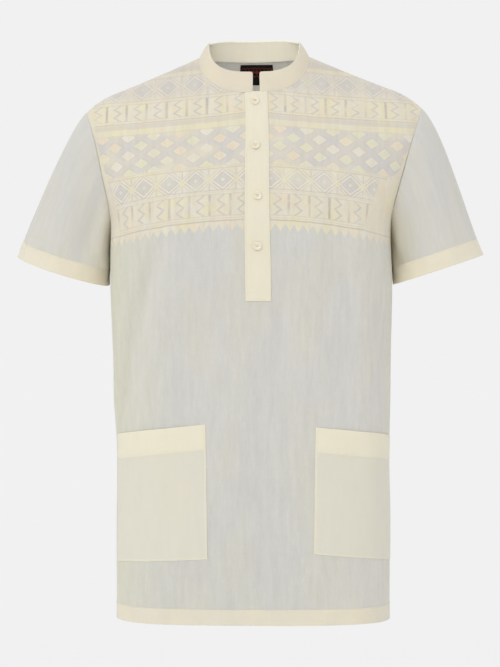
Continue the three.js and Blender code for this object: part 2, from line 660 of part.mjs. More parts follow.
// Draws a panel's outline in by half the seam gap, along its own surface.
function trimmed(panel) {
  const { points, gap = SEAM_GAP } = panel;
  const uses = new Map();
  const edgeKey = (a, b) => [a.join(), b.join()].sort().join("|");
  for (const cell of cellsOf(panel)) {
    const corners = cornersOf(panel, cell);
    corners.forEach((a, i) => {
      const b = corners[(i + 1) % 4];
      const behind = corners[(i + 3) % 4];
      const key = edgeKey(a, b);
      const found = uses.get(key);
      uses.set(key, found ? null : { a, b, behind });
    });
  }
  const moves = points.map((row) => row.map(() => []));
  for (const edge of uses.values()) {
    if (!edge) continue;
    const at = ([r, k]) => points[r][k];
    const along = at(edge.b).clone().sub(at(edge.a)).normalize();
    const into = at(edge.behind).clone().sub(at(edge.a));
    into.addScaledVector(along, -into.dot(along)).normalize();
    for (const [r, k] of [edge.a, edge.b]) moves[r][k].push(into);
  }
  return points.map((row, r) =>
    row.map((p, k) => {
      const kinds = [];
      for (const m of moves[r][k]) {
        const same = kinds.find((other) => other.dot(m) > CORNER_COSINE);
        if (same) same.add(m).normalize();
        else kinds.push(m.clone());
      }
      const moved = p.clone();
      for (const m of kinds) moved.addScaledVector(m, gap / 2);
      return moved;
    }),
  );
}

// A closed solid between a grid moved outwards and the same grid moved inwards.
function thickened(grid, rise, sink) {
  const { points, normals } = grid;
  const wide = points[0].length;
  const count = points.length * wide;
  const positions = [];
  for (const level of [rise, sink]) {
    points.forEach((row, r) =>
      row.forEach((p, k) => {
        const amount = typeof level === "function" ? level(r, k) : level;
        positions.push(...p.clone().addScaledVector(normals[r][k], amount).toArray());
      }),
    );
  }
  const index = [];
  const edges = new Map();
  for (const cell of cellsOf(grid)) {
    const [a, b, c, d] = cornersOf(grid, cell).map(([r, k]) => r * wide + k);
    index.push(a, b, c, a, c, d);
    index.push(a + count, c + count, b + count, a + count, d + count, c + count);
    for (const [p, q] of [
      [a, b],
      [b, c],
      [c, d],
      [d, a],
    ]) {
      if (!edges.delete(q + "," + p)) edges.set(p + "," + q, [p, q]);
    }
  }
  for (const [p, q] of edges.values()) index.push(q, p, p + count, q, p + count, q + count);
  const used = [...new Set(index)];
  const place = new Map(used.map((old, i) => [old, i]));
  const geometry = new THREE.BufferGeometry();
  const kept = used.flatMap((old) => positions.slice(3 * old, 3 * old + 3));
  geometry.setAttribute("position", new THREE.Float32BufferAttribute(kept, 3));
  geometry.setIndex(index.map((old) => place.get(old)));
  if (volumeOf(geometry) < 0) geometry.index.array.reverse();
  geometry.computeVertexNormals();
  return geometry;
}

function volumeOf(geometry) {
  const { array } = geometry.attributes.position;
  const corner = (i) => v(array[3 * i], array[3 * i + 1], array[3 * i + 2]);
  let sum = 0;
  for (let i = 0; i < geometry.index.count; i += 3) {
    const [a, b, c] = [0, 1, 2].map((k) => corner(geometry.index.array[i + k]));
    sum += a.dot(b.cross(c));
  }
  return sum / 6;
}

// A point and normal of a panel at a row and column that needn't be whole.
function between(panel, row, column) {
  const r = Math.min(Math.floor(row), panel.points.length - 2);
  const c = Math.min(Math.floor(column), panel.points[0].length - 2);
  const mix = (grid) => {
    const low = grid[r][c].clone().lerp(grid[r][c + 1], column - c);
    return low.lerp(grid[r + 1][c].clone().lerp(grid[r + 1][c + 1], column - c), row - r);
  };
  return { point: mix(panel.points), normal: mix(panel.normals).normalize() };
}

// A piece that lies on a panel, or inside it: the panel's own points at these rows and columns.
function overlay(panel, rows, columns) {
  const cells = rows.map((row) => columns.map((column) => between(panel, row, column)));
  return {
    points: cells.map((row) => row.map((cell) => cell.point)),
    normals: cells.map((row) => row.map((cell) => cell.normal)),
  };
}

const range = (from, to) => Array.from({ length: to - from + 1 }, (_, i) => from + i);

// ---------------------------------------------------------------- the garment
const group = new THREE.Group();

function addMesh(name, geometry, look) {
  const mesh = new THREE.Mesh(geometry, new THREE.MeshStandardMaterial(look));
  mesh.name = name;
  group.add(mesh);
  return mesh;
}

for (const panel of panels) {
  const [x, y, z] = panel.hand ? SLEEVE_INSIDE : BODY_INSIDE;
  panel.normals = gridNormals(panel, v(x * (panel.hand ?? 1), y, z));
}
weldNormals(panels.filter((panel) => !panel.alone));
for (const panel of panels) {
  const wall = panel.wall ?? CLOTH;
  const proud = panel.proud ?? (wall - CLOTH) / 2;
  const cut = { ...panel, points: trimmed(panel) };
  addMesh(panel.name, thickened(cut, proud, proud - wall), panel.cream ? CREAM_CLOTH : GREY_CLOTH);
}

const [front, , back] = panels;

function addPocket(hand) {
  const centre = hand > 0 ? SLIT_COLUMN + 1 : SLIT_COLUMN;
  const inner = centre + hand * POCKET_FIRST;
  const outer = centre + hand * POCKET_LAST;
  const step = POCKET_HEM_ROW - HEM_ROW;
  const rows = range(POCKET_BASE_ROW - HEM_ROW, POCKET_TOP_ROW - HEM_ROW);
  rows.splice(rows.indexOf(step) + 1, 0, step + POCKET_STEP_RUN / POCKET_HEM);
  const grid = overlay(front, rows, range(Math.min(inner, outer), Math.max(inner, outer)));
  const rise = (r) => LIFT + POCKET_WALL + (rows[r] > step ? POCKET_HEM_STEP : 0);
  addMesh(hand > 0 ? "pocket_left" : "pocket_right", thickened(grid, rise, LIFT), CREAM_CLOTH);
}
addPocket(-1);
addPocket(1);

function addPlackets() {
  const rows = range(PLACKET_ROW - HEM_ROW, NECK_ROW - HEM_ROW);
  rows[rows.length - 1] -= PLACKET_TOP_GAP;
  const grid = overlay(front, rows, range(SLIT_COLUMN - 1, SLIT_COLUMN + 2));
  addMesh("placket_upper", thickened(grid, LIFT + PLACKET_WALL, LIFT), CREAM_CLOTH);
  const under = -CLOTH - LIFT;
  addMesh("placket_under", thickened(grid, under, under - PLACKET_WALL), CREAM_CLOTH);
}
addPlackets();

function addLabel() {
  const middles = back.points[back.points.length - 1].map((p) => p.x);
  const columnAt = (x) => {
    const c = middles.findIndex((other) => other > x) - 1;
    return c + (x - middles[c]) / (middles[c + 1] - middles[c]);
  };
  const first = columnAt(LABEL.middle - LABEL.half);
  const last = columnAt(LABEL.middle + LABEL.half);
  const columns = [first, ...range(Math.ceil(first), Math.floor(last)), last];
  const heights = back.points.map((row) => row[HALF_COLUMNS].z);
  const rowAt = (z) => {
    const r = heights.findIndex((height) => height > z) - 1;
    return r + (z - heights[r]) / (heights[r + 1] - heights[r]);
  };
  const base = rowAt(LABEL.base);
  const top = rowAt(LABEL.top);
  const rows = [base, ...range(Math.ceil(base), Math.floor(top)), top];
  const sink = -CLOTH - LIFT;
  addMesh("label", thickened(overlay(back, rows, columns), sink, sink - LABEL.wall), LABEL_CLOTH);
}
addLabel();

// A button: a dished disc with a raised rim, turned about its own axis.
function buttonGeometry() {
  const { radius, thick, rim, dish, edge } = BUTTON;
  const profile = [
    [0, 0],
    [radius - edge, 0],
    [radius, edge],
    [radius, thick - edge],
    [radius - edge, thick],
    [radius - rim, thick],
    [radius - rim - edge, thick - dish],
    [0, thick - dish],
  ].map(([r, h]) => new THREE.Vector2(r, h));
  const geometry = new THREE.LatheGeometry(profile, BUTTON_SIDES);
  geometry.rotateX(Math.PI / 2);
  return geometry;
}

BUTTONS.forEach(({ x, z }, i) => {
  const middle = x - lookup(SETTLE, "shift", z);
  const at = (dx, dz) => settle(bodyAt("front", middle + dx, z + dz));
  const normal = at(1, 0).sub(at(-1, 0)).cross(at(0, 1).sub(at(0, -1))).normalize();
  const mesh = addMesh("button_" + (i + 1), buttonGeometry(), PEARL);
  mesh.quaternion.setFromUnitVectors(v(0, 0, 1), normal);
  mesh.position.copy(at(0, 0)).addScaledVector(normal, LIFT + PLACKET_WALL + LIFT);
});

export default group;
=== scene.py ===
"""The fatua's looks: cloth, woven yoke, stitches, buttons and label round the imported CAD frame.

Lengths are in millimetres until a mesh is made, when they become metres. x is towards the wearer's left,
y backwards, z up, from the middle of the neck opening. The cloth follows the same form as the CAD panels.
Each CAD node's cloth is a thin shell on a grid of points, and each point has coordinates u across and v up
the weave, in which its material draws the pattern. A hand is -1 for the wearer's right and 1 for the left.
"""
import math

import bpy
import numpy as np
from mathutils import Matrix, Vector


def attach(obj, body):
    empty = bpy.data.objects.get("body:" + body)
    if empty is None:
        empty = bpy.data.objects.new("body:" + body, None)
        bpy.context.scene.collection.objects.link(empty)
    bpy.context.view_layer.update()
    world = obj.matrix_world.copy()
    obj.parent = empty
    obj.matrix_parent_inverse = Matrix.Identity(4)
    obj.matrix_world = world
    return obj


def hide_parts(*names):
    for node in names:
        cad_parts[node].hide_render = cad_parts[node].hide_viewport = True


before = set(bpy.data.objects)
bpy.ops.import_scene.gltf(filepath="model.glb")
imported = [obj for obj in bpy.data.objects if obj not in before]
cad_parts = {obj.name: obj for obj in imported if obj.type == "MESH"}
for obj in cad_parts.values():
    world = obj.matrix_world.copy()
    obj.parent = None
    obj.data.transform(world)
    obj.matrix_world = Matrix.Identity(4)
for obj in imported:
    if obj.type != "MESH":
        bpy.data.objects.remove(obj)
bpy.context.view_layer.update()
rng = np.random.default_rng(11)

# ---------------------------------------------------------------- the garment's form, as in the CAD source
CLOTH, HEM_WALL, COLLAR_WALL, PLACKET_WALL, POCKET_WALL = 0.8, 1.3, 2.2, 1.2, 0.8
HEM_Z, HEM_BAND, UNDERARM_Z = -780.5, 22, -255
SHOULDER_X, NECK_HALF, NECK_DROP, NECK_RISE = 234, 76, 56, -1
NECK_ROUND = {"front": 2.3, "back": 2}
SQUARE = 3  # power of the body's rounded square section
ARCH_HEIGHT, YOKE_SPREAD = 255, 4
NECK_EASE, SHOULDER_FALL, SHOULDER_SAG = 25, 0.41, 1.8
POINT_X, POINT_FALL = 195, 0.0067  # where the shoulder starts to round down to its point, and how fast


def table(*rows):
    return np.array(rows, float)


WIDTH = table((HEM_Z, 190.3), (-640, 190.1), (-524, 190.1), (-423, 193.2), (-322, 196.2), (UNDERARM_Z, 195))
DEPTH_Z = (HEM_Z, -640, -500, -400, -255, -150, -58, 0)
DEPTH = {
    "front": np.column_stack([DEPTH_Z, (120, 118, 118, 120, 121, 114, 105, 100)]),
    "back": np.column_stack([DEPTH_Z, (107, 103, 98, 99, 106, 108, 102, 99)]),
}
ARMHOLE = table((UNDERARM_Z, 195), (-225, 194.8), (-178, 206.5), (-150, 213.5), (-112, 223.5),
                (-74, SHOULDER_X))
ARMHOLE_SWING = {"front": 54, "back": 60}
SETTLE_Z = (HEM_Z, -524, -423, -300, -255, -180, -100, 30)
SHIFT = np.column_stack([SETTLE_Z, (-0.4, -0.4, -2, -3.4, -4.2, -2, 0.7, 0.9)])
ROLL = np.column_stack([SETTLE_Z, (-0.004, 0, 0.001, 0.003, 0.005, 0.006, 0.012, 0.012)])
CUFFS = {
    -1: ((262.5, -2, -298), (64, 0, 20.5), (0, -57, -7)),
    1: ((262, -2, -298), (63.5, 0, 20.5), (0, -57, -1)),
}
CUFF_BAND = 24
HEAD_OUT = table((0, 0.1), (0.2, 0.5), (0.5, 0.78), (0.8, 0.82), (1, 0.74))
HEAD_DOWN = table((0, 0.99), (0.2, 0.84), (0.5, 0.6), (0.8, 0.57), (1, 0.68))
COLLAR_ENDS = (-2.3, 7.4)
PLACKET_NECK, PLACKET_BASE, PLACKET_END, SLIT_HALF = (-12.9, 2, 17.6), (-7.6, 6, 25.7), -343, 1.5
BUTTONS = ((1.9, -69.5), (2.5, -131.3), (5.2, -200.4), (4.9, -268.6))
# Pocket by side: inner edge, slant, and heights of its corners: top inner, top outer, base inner, base outer.
POCKETS = {-1: (64.5, 2.4, -509, -525, -691.5, -700), 1: (84, 2.6, -513, -528, -684.5, -699)}
POCKET_WIDTH, POCKET_HEM, POCKET_SIDE = 150, 34, (-528, -700)
POCKET_LOW = 143  # from the pocket's base to its turned top in the weave's coordinates
LAID = 0.06  # how far a piece lies off the cloth under it
HEM_PROUD = 0.25  # how far a turned hem stands out of its panel

# Folds: across, z, lean in degrees, long, wide, deep.
FOLDS = {
    "front": table(
        (-232, -430, 14, 90, 14, 3.2), (-205, -360, 6, 130, 20, -2.6), (-150, -640, 2, 190, 24, 2.4),
        (-95, -420, -3, 170, 26, -2.2), (-120, -300, 10, 80, 20, 2.2), (-30, -560, -2, 190, 26, 2.2),
        (34, -470, 2, 180, 22, -2.4), (78, -330, -5, 150, 24, 2.4), (132, -292, -16, 75, 17, -2.8),
        (165, -420, -3, 170, 22, 2.6), (225, -470, -8, 120, 18, -2.8),
    ),
    "back": table(
        (-215, -400, 8, 130, 20, 3), (-140, -560, 3, 200, 26, -2.8), (-60, -470, -2, 230, 28, 2.8),
        (-105, -215, 18, 60, 18, -2), (20, -600, 2, 190, 28, -2.6), (95, -440, -3, 210, 26, 3),
        (112, -225, -16, 65, 18, 2.2), (160, -620, -2, 170, 26, -2.6), (220, -380, -9, 120, 20, 2.8),
    ),
}
# Finer creases that only show in the cloth's look.
CREASES = {
    "front": table(
        (-170, -392, 16, 112, 13, -3), (-228, -455, 20, 34, 6, 1.2), (-196, -300, 12, 60, 9, 0.9),
        (150, -268, -24, 36, 8, -1.3), (168, -250, -30, 30, 7, 1.1), (205, -300, -12, 60, 10, 0.9),
        (-60, -400, 1, 150, 12, 0.5), (112, -520, -1, 150, 12, 0.5), (20, -700, 1, 70, 12, 0.6),
        (-180, -560, 2, 120, 12, -0.6), (190, -620, -2, 110, 12, 0.6),
    ),
    "back": table(
        (-170, -300, 16, 60, 9, 1), (170, -310, -14, 60, 9, -1), (0, -330, 1, 160, 12, 0.6),
        (-110, -680, 2, 90, 12, 0.7), (120, -700, -2, 80, 12, 0.6),
    ),
}
# Sleeve folds and finer creases: turn, from, to, wide, deep.
SLEEVE_FOLDS = (
    (62, 0.1, 0.95, 11, -2.6), (104, 0.25, 1, 13, 2.2), (40, 0.2, 0.9, 9, 2), (-70, 0.1, 0.95, 12, -2.6),
    (-112, 0.2, 1, 13, 2.2),
)
SLEEVE_CREASES = (
    (84, 0.0, 0.55, 5, 0.9), (118, 0.05, 0.5, 6, -1.0), (140, 0.1, 0.6, 7, 0.7), (20, 0.1, 0.7, 6, -1.0),
    (-40, 0.1, 0.8, 7, 1.0), (-95, 0.0, 0.6, 6, 0.9), (160, 0.3, 1.0, 9, -0.6), (75, 0.5, 1.0, 6, 0.6),
)
# The CAD panels' rows from the hem up, and columns from the wearer's right. The slit takes one column.
ROWS = {"hem": 1, "skirt": 2, "pocket": 5, "pocket_hem": 1, "waist": 4, "chest": 2, "arm": 14}
HEM_ROW, POCKET_BASE_ROW, POCKET_HEM_ROW, POCKET_TOP_ROW, PLACKET_ROW, LOW_ROWS, NECK_ROW = np.cumsum(
    list(ROWS.values())
)
NECK_COLUMNS, HALF_COLUMNS, POCKET_FIRST, POCKET_LAST = 8, 16, 4, 14
SLIT_COLUMN = HALF_COLUMNS
COLUMNS = {"front": 2 * HALF_COLUMNS + 1, "back": 2 * HALF_COLUMNS}
HANDS = {-1: "right", 1: "left"}


def lerp(a, b, t):
    return a + (b - a) * t


def smooth(x, low, high):
    t = np.clip((x - low) / (high - low), 0, 1)
    return t * t * (3 - 2 * t)


def hermite(a, b, slope_a, slope_b, t):
    return lerp(a, b, t * t * (3 - 2 * t)) + t * (1 - t) * ((1 - t) * slope_a - t * slope_b)


def lookup(rows, z):
    """A smooth curve through a table of (z, value), its ends held."""
    zs, values = rows.T
    z = np.clip(z, zs[0], zs[-1])
    i = np.clip(np.searchsorted(zs, z) - 1, 0, len(zs) - 2)
    low, high = np.maximum(np.arange(len(zs)) - 1, 0), np.minimum(np.arange(len(zs)) + 1, len(zs) - 1)
    slopes = (values[high] - values[low]) / (zs[high] - zs[low])
    span = zs[i + 1] - zs[i]
    return hermite(values[i], values[i + 1], slopes[i] * span, slopes[i + 1] * span, (z - zs[i]) / span)


def ridge(x):
    """Height of the shoulder line."""
    x = np.abs(x)
    far = np.hypot(x, NECK_EASE) - math.hypot(NECK_HALF, NECK_EASE)
    along = np.clip((x - NECK_HALF) / (SHOULDER_X - NECK_HALF), 0, 1)
    point = POINT_FALL * np.maximum(0, x - POINT_X) ** 2
    return -SHOULDER_FALL * far - point - SHOULDER_SAG * np.sin(np.pi * along)


SHOULDER_Z = float(ridge(SHOULDER_X))


def arch(drop):
    return np.sqrt(1 - (1 - np.clip(drop / ARCH_HEIGHT, 0, 1)) ** 2)


def half_width(side, z):
    seam_z = np.clip(z, UNDERARM_Z, SHOULDER_Z - 1)
    x = lookup(ARMHOLE, seam_z)
    level = ((UNDERARM_Z + SHOULDER_Z) / 2 - seam_z) / ((SHOULDER_Z - UNDERARM_Z) / 2)
    y = ARMHOLE_SWING[side] * np.sin(np.arccos(np.clip(level, -1, 1)))
    full = lookup(DEPTH[side], seam_z) * arch(ridge(x) - seam_z)
    above = x / (1 - (y / full) ** SQUARE) ** (1 / SQUARE) + YOKE_SPREAD * (z - seam_z)
    return np.where(z <= UNDERARM_Z, lookup(WIDTH, z), above)


def outward(side):
    return -1 if side == "front" else 1


def body_at(side, x, z):
    """The body's surface at x and z, before folds."""
    x, z = np.broadcast_arrays(np.asarray(x, float), np.asarray(z, float))
    across = np.minimum(1, np.abs(x) / half_width(side, z))
    lateral = (1 - across**SQUARE) ** (1 / SQUARE)
    y = outward(side) * lookup(DEPTH[side], z) * lateral * arch(ridge(x) - z)
    return np.stack([x, y, z], -1)


# A quarter of the body's section at turns round it, as shares of its half width and depth.
TURNS = np.linspace(0, math.pi / 2, 161)
ACROSS, THROUGH = np.sin(TURNS) ** (2 / SQUARE), np.append(np.cos(TURNS[:-1]) ** (2 / SQUARE), 0)


def quarter_lengths(side, z):
    """Lengths along a quarter of the section at each z, one row a height."""
    steps = np.hypot(np.multiply.outer(half_width(side, z), np.diff(ACROSS)),
                     np.multiply.outer(lookup(DEPTH[side], z), np.diff(THROUGH)))
    return np.concatenate([np.zeros(steps.shape[:-1] + (1,)), np.cumsum(steps, -1)], -1)


def body_round(side, share, z):
    """The body's surface at a share of the way round the section at z."""
    lengths = quarter_lengths(side, z)
    wanted = np.abs(share) * lengths[..., -1]
    i = np.clip((lengths < wanted[..., None]).sum(-1), 1, len(TURNS) - 1)
    before = np.take_along_axis(lengths, i[..., None] - 1, -1)[..., 0]
    after = np.take_along_axis(lengths, i[..., None], -1)[..., 0]
    turn = (i - 1 + (wanted - before) / (after - before)) * TURNS[1]
    x = half_width(side, z) * np.sin(turn) ** (2 / SQUARE)
    y = lookup(DEPTH[side], z) * np.clip(np.cos(turn), 0, 1) ** (2 / SQUARE)
    return np.stack([np.sign(share) * x, outward(side) * y * arch(ridge(x) - z), z], -1)


FRONT_LENGTH = float(quarter_lengths("front", np.array([-600.0]))[0, -1])


def pocket_line(line, share):
    """Height of the pockets' top (0) or base (2) line at a share of the way round."""
    right, left = POCKETS[-1], POCKETS[1]
    stops = [-FRONT_LENGTH, -right[0] - POCKET_WIDTH, -right[0],
             left[0], left[0] + POCKET_WIDTH, FRONT_LENGTH]
    side = POCKET_SIDE[line // 2]
    levels = [side, right[3 + line], right[2 + line], left[2 + line], left[3 + line], side]
    return np.interp(share * FRONT_LENGTH, stops, levels)


def column_from_slit(hand, n):
    """The front's column that is n columns out from the slit on a hand's side."""
    return SLIT_COLUMN + (hand > 0) + hand * n


def low_share(side, columns, rows):
    """Share of the way round at which columns of the lower body stand, rows by columns."""
    rows, columns = np.meshgrid(rows, columns, indexing="ij")
    if side == "back":
        return (columns - HALF_COLUMNS) / HALF_COLUMNS
    drop = np.clip((POCKET_TOP_ROW - rows) / (POCKET_TOP_ROW - POCKET_BASE_ROW), 0, 1)
    slit = PLACKET_BASE[1]
    result = np.zeros(rows.shape)
    for row in np.unique(drop):
        knots_x, knots = [], []
        for hand in (-1, 1):
            inner, slant = POCKETS[hand][:2]
            edge = PLACKET_BASE[0] if hand < 0 else PLACKET_BASE[2]
            marks = [(1, abs(edge)), (POCKET_FIRST, inner - slant * row), (POCKET_LAST, inner + POCKET_WIDTH),
                     (HALF_COLUMNS, FRONT_LENGTH)]
            for n, far in marks[::hand]:
                knots_x.append(column_from_slit(hand, n))
                knots.append(hand * far)
            if hand < 0:
                knots_x += [SLIT_COLUMN, SLIT_COLUMN + 1]
                knots += [slit - SLIT_HALF, slit + SLIT_HALF]
        where = drop == row
        result[where] = np.interp(columns[where], knots_x, knots)
    return result / FRONT_LENGTH


def neck_point(side, x):
    power = NECK_ROUND[side]
    cosine = np.maximum(0, 1 - np.abs(x / NECK_HALF) ** power) ** (1 / power)
    z = cosine * (-NECK_DROP if side == "front" else NECK_RISE)
    return np.where((np.abs(x) >= NECK_HALF)[..., None], np.stack([x, 0 * x, 0 * x], -1), body_at(side, x, z))


def neck_stations(side, start):
    """The turns round the neckline of its columns, evenly spaced along it from the centre to the shoulder."""
    turns = np.linspace(math.asin(start / NECK_HALF), math.pi / 2, 81)
    points = neck_point(side, NECK_HALF * np.sin(turns))
    lengths = np.append(0, np.cumsum(np.linalg.norm(np.diff(points, axis=0), axis=1)))
    return lambda share: np.interp(share * lengths[-1], lengths, turns)


def top_x(side, columns):
    """The x at which each column ends, on neckline or shoulder seam, and its count from the middle."""
    at, turns, shoulder = [], [], []
    for hand in (-1, 1):
        start = 0 if side == "back" else abs(PLACKET_NECK[0] if hand < 0 else PLACKET_NECK[2])
        stations = neck_stations(side, start)
        first = 0 if side == "back" else 1
        for n in range(first, NECK_COLUMNS + 1):
            at.append(HALF_COLUMNS + hand * n if side == "back" else column_from_slit(hand, n))
            turns.append(hand * stations((n - first) / (NECK_COLUMNS - first)))
    if side == "front":
        for k, edge in ((0, -SLIT_HALF), (1, SLIT_HALF)):
            at.append(SLIT_COLUMN + k)
            turns.append(math.asin((PLACKET_NECK[1] + edge) / NECK_HALF))
    order = np.argsort(at)
    x = NECK_HALF * np.sin(np.interp(columns, np.array(at)[order], np.array(turns)[order]))
    middle = COLUMNS[side] / 2
    n = np.abs(columns - middle) - (middle - HALF_COLUMNS)
    along = 1 - (1 - np.clip((n - NECK_COLUMNS) / (HALF_COLUMNS - NECK_COLUMNS), 0, 1)) ** 1.3
    outer = np.sign(columns - middle) * lerp(NECK_HALF, SHOULDER_X, along)
    return np.where(n > NECK_COLUMNS, outer, x), n


def arm_share(row):
    return (1 - np.cos(np.pi * row / ROWS["arm"])) / 2


def panel_point(side, rows, columns):
    """Points of a body panel at rows counted up from the hem, by columns."""
    rows, columns = np.asarray(rows, float), np.asarray(columns, float)
    share = low_share(side, columns, rows)
    level = share if side == "front" else np.ones_like(share)
    top_line, base_line = pocket_line(0, level), pocket_line(2, level)
    stops = [0, HEM_ROW, POCKET_BASE_ROW, POCKET_HEM_ROW, POCKET_TOP_ROW, PLACKET_ROW, LOW_ROWS]
    heights = [HEM_Z, HEM_Z + HEM_BAND, base_line, top_line - POCKET_HEM, top_line, PLACKET_END, UNDERARM_Z]
    row_grid = np.broadcast_to(rows[:, None], share.shape)
    z = np.full(share.shape, float(UNDERARM_Z))
    for i in range(len(stops) - 1):
        part = (row_grid - stops[i]) / (stops[i + 1] - stops[i])
        z = np.where((part >= 0) & (part < 1), lerp(heights[i], heights[i + 1], part), z)
    low = body_round(side, share, z)
    x_top, n = top_x(side, columns)
    sign = np.sign(columns - COLUMNS[side] / 2)
    on_neck = neck_point(side, np.clip(x_top, -NECK_HALF, NECK_HALF))[:, 2]
    z_top = np.where(np.abs(x_top) < NECK_HALF, on_neck, ridge(x_top))
    arm_row = np.clip(row_grid - LOW_ROWS, 0, ROWS["arm"])
    w = arm_share(arm_row)
    by_placket = np.clip(2 - n, 0, 1) if side == "front" else 0 * n
    ease = lerp((arm_row / ROWS["arm"]) ** 2, w, by_placket)
    edge = lookup(ARMHOLE, lerp(UNDERARM_Z, SHOULDER_Z, w))
    reach = (n / HALF_COLUMNS) ** 2 * (edge - lerp(WIDTH[-1, 1], SHOULDER_X, ease))
    x = lerp(low[..., 0], x_top, ease) + sign * np.where(n > 0, reach, 0)
    height = z_top + ridge(x) - ridge(x_top)
    high = body_at(side, x, lerp(UNDERARM_Z, height, w))
    return np.where((row_grid > LOW_ROWS)[..., None], high, low)


FOLD_WRAP = 0.68  # how much of the cloth's way back round the side counts as its way across, for the folds


def fold_at(side, p):
    """How far folds and creases move the cloth outwards."""
    depth = lookup(DEPTH[side], p[..., 2]) * arch(ridge(p[..., 0]) - p[..., 2])
    across = np.sign(p[..., 0]) * (np.abs(p[..., 0]) + FOLD_WRAP * (depth - np.abs(p[..., 1])))
    total = np.zeros(p.shape[:-1])
    for fold_across, z, lean, long, wide, deep in np.vstack([FOLDS[side], CREASES[side]]):
        a = math.radians(lean)
        along = ((p[..., 2] - z) * math.cos(a) + (across - fold_across) * math.sin(a)) / long
        over = ((across - fold_across) * math.cos(a) - (p[..., 2] - z) * math.sin(a)) / wide
        total += deep * np.exp(-(over**2) - along**4)
    return total * smooth(np.abs(p[..., 1]), 4, 40)


def unit(a):
    return a / np.maximum(np.linalg.norm(a, axis=-1, keepdims=True), 1e-12)


def body_normal(side, p):
    x, z = p[..., 0], p[..., 2]
    dx = body_at(side, x + 0.5, z) - body_at(side, x - 0.5, z)
    dz = body_at(side, x, z + 0.5) - body_at(side, x, z - 0.5)
    n = unit(np.cross(dx, dz))
    n = np.where((n[..., 1] * outward(side) < 0)[..., None], -n, n)
    by_seam = (np.abs(x) > half_width(side, z) - 4) | (np.abs(p[..., 1]) < 4)
    return np.where(by_seam[..., None], np.stack([np.sign(x), 0 * x, 0 * x], -1), n)


def settle(p):
    """Leans and shifts the garment as it hangs in the photo."""
    x = p[..., 0] + lookup(SHIFT, p[..., 2])
    return np.stack([x, p[..., 1], p[..., 2] + lookup(ROLL, p[..., 2]) * p[..., 0]], -1)


WAVES = [
    (rng.uniform(0.02, 0.14), rng.uniform(-0.035, 0.035), rng.uniform(0, 6.3), rng.uniform(0.05, 0.16))
    for _ in range(14)
]


def ripple(u, z):
    """A faint unevenness of hanging cloth, mostly in upright waves."""
    return sum(deep * np.sin(a * u + b * z + phase) for a, b, phase, deep in WAVES)


def arc_lengths(side):
    """Distance round the body from its centre, as a table by height and x."""
    heights, reach = 160, 240
    zs, xs = np.linspace(HEM_Z - 5, 0, heights), np.arange(reach + 1)
    y = body_at(side, xs[None, :], zs[:, None])[..., 1]
    lengths = np.concatenate([np.zeros((heights, 1)), np.cumsum(np.hypot(1, np.diff(y, axis=1)), 1)], 1)

    def at(x, z):
        row = np.clip((z - zs[0]) / (zs[1] - zs[0]), 0, heights - 1.001)
        column = np.clip(np.abs(x), 0, reach - 0.001)
        r, c = row.astype(int), column.astype(int)
        low = lerp(lengths[r, c], lengths[r, c + 1], column - c)
        high = lerp(lengths[r + 1, c], lengths[r + 1, c + 1], column - c)
        return np.sign(x) * lerp(low, high, row - r)

    return at


ARC = {side: arc_lengths(side) for side in COLUMNS}
YOKE_BASE = 232  # depth of the yoke's lowest line below the origin, at the centre
# How far that line droops by how far to the side, and the most that lines by the shoulders do.
YOKE_DROOP = table((0, 0), (60, 3.2), (111, 8.2), (150, 14.5), (195, 23.5), (230, 29))
HIGH_DROOP, HIGH_DROOP_REACH, BACK_EASE = 18, 130, 30


def weave_coordinates(side, p):
    """Along the weft from the centre, and up the warp from the yoke's lowest line, of unsettled points."""
    x, z = p[..., 0], p[..., 2]
    far = np.abs(x) if side == "front" else np.hypot(x, BACK_EASE) - BACK_EASE
    across = lerp(x, ARC[side](x, z), smooth(-z, 110, 200)) + lookup(SHIFT, z)
    droop_low = np.interp(far, *YOKE_DROOP.T)
    droop_high = HIGH_DROOP * (1 - np.exp(-far / HIGH_DROOP_REACH))
    droop = lerp(droop_low, droop_high, smooth(z, -235, -95)) * smooth(z, -420, -250)
    return across, z + YOKE_BASE + droop


class Grid:
    """Points p of a surface in rows and columns, their normals n, and the weave's coordinates u and v."""

    closed = False  # whether the last column meets the first one
    wide_rows = slice(None)  # the rows on which the cut is measured across

    def __init__(self, p, n, u, v):
        self.p, self.n, self.u, self.v = p, n, u, v


class Surface(Grid):
    """The settled cloth surface of one side, at rows and columns of its panel."""

    def __init__(self, side, rows, columns):
        self.side, self.rows, self.columns = side, np.asarray(rows, float), np.asarray(columns, float)
        self.u, self.v = weave_coordinates(side, panel_point(side, self.rows, self.columns))
        self.p = self.settled(self.rows, self.columns)
        self.n = self.normals()

    def settled(self, rows, columns):
        p = panel_point(self.side, rows, columns)
        u, _ = weave_coordinates(self.side, p)
        lift = fold_at(self.side, p) + ripple(u, p[..., 2]) * smooth(np.abs(p[..., 1]), 2, 30)
        return settle(p + body_normal(self.side, p) * lift[..., None])

    def normals(self):
        step, last_row, last_column = 0.03, NECK_ROW, COLUMNS[self.side]
        up = self.settled(np.minimum(self.rows + step, last_row), self.columns)
        down = self.settled(np.maximum(self.rows - step, 0), self.columns)
        right = self.settled(self.rows, np.minimum(self.columns + step, last_column))
        left = self.settled(self.rows, np.maximum(self.columns - step, 0))
        n = unit(np.cross(right - left, up - down))
        out = np.sum(n * (self.p - np.array([0, 0, -200])))
        return n if out > 0 else -n


def between_marks(*marks):
    """Values from mark to mark, of (mark, count of steps up to the next one) pairs."""
    parts = [np.linspace(a[0], b[0], a[1] + 1)[:-1] for a, b in zip(marks[:-1], marks[1:])]
    return np.append(np.concatenate(parts), marks[-1][0])


EDGE_STEPS = np.array([0, 0.12, 0.35, 0.7, 1.1, 1.6, 2.0, 2.4, 3.2, 5])  # distances in from a finished edge


def in_order(*parts):
    """The values of all parts, each once."""
    return np.unique(np.round(np.concatenate(parts), 7))


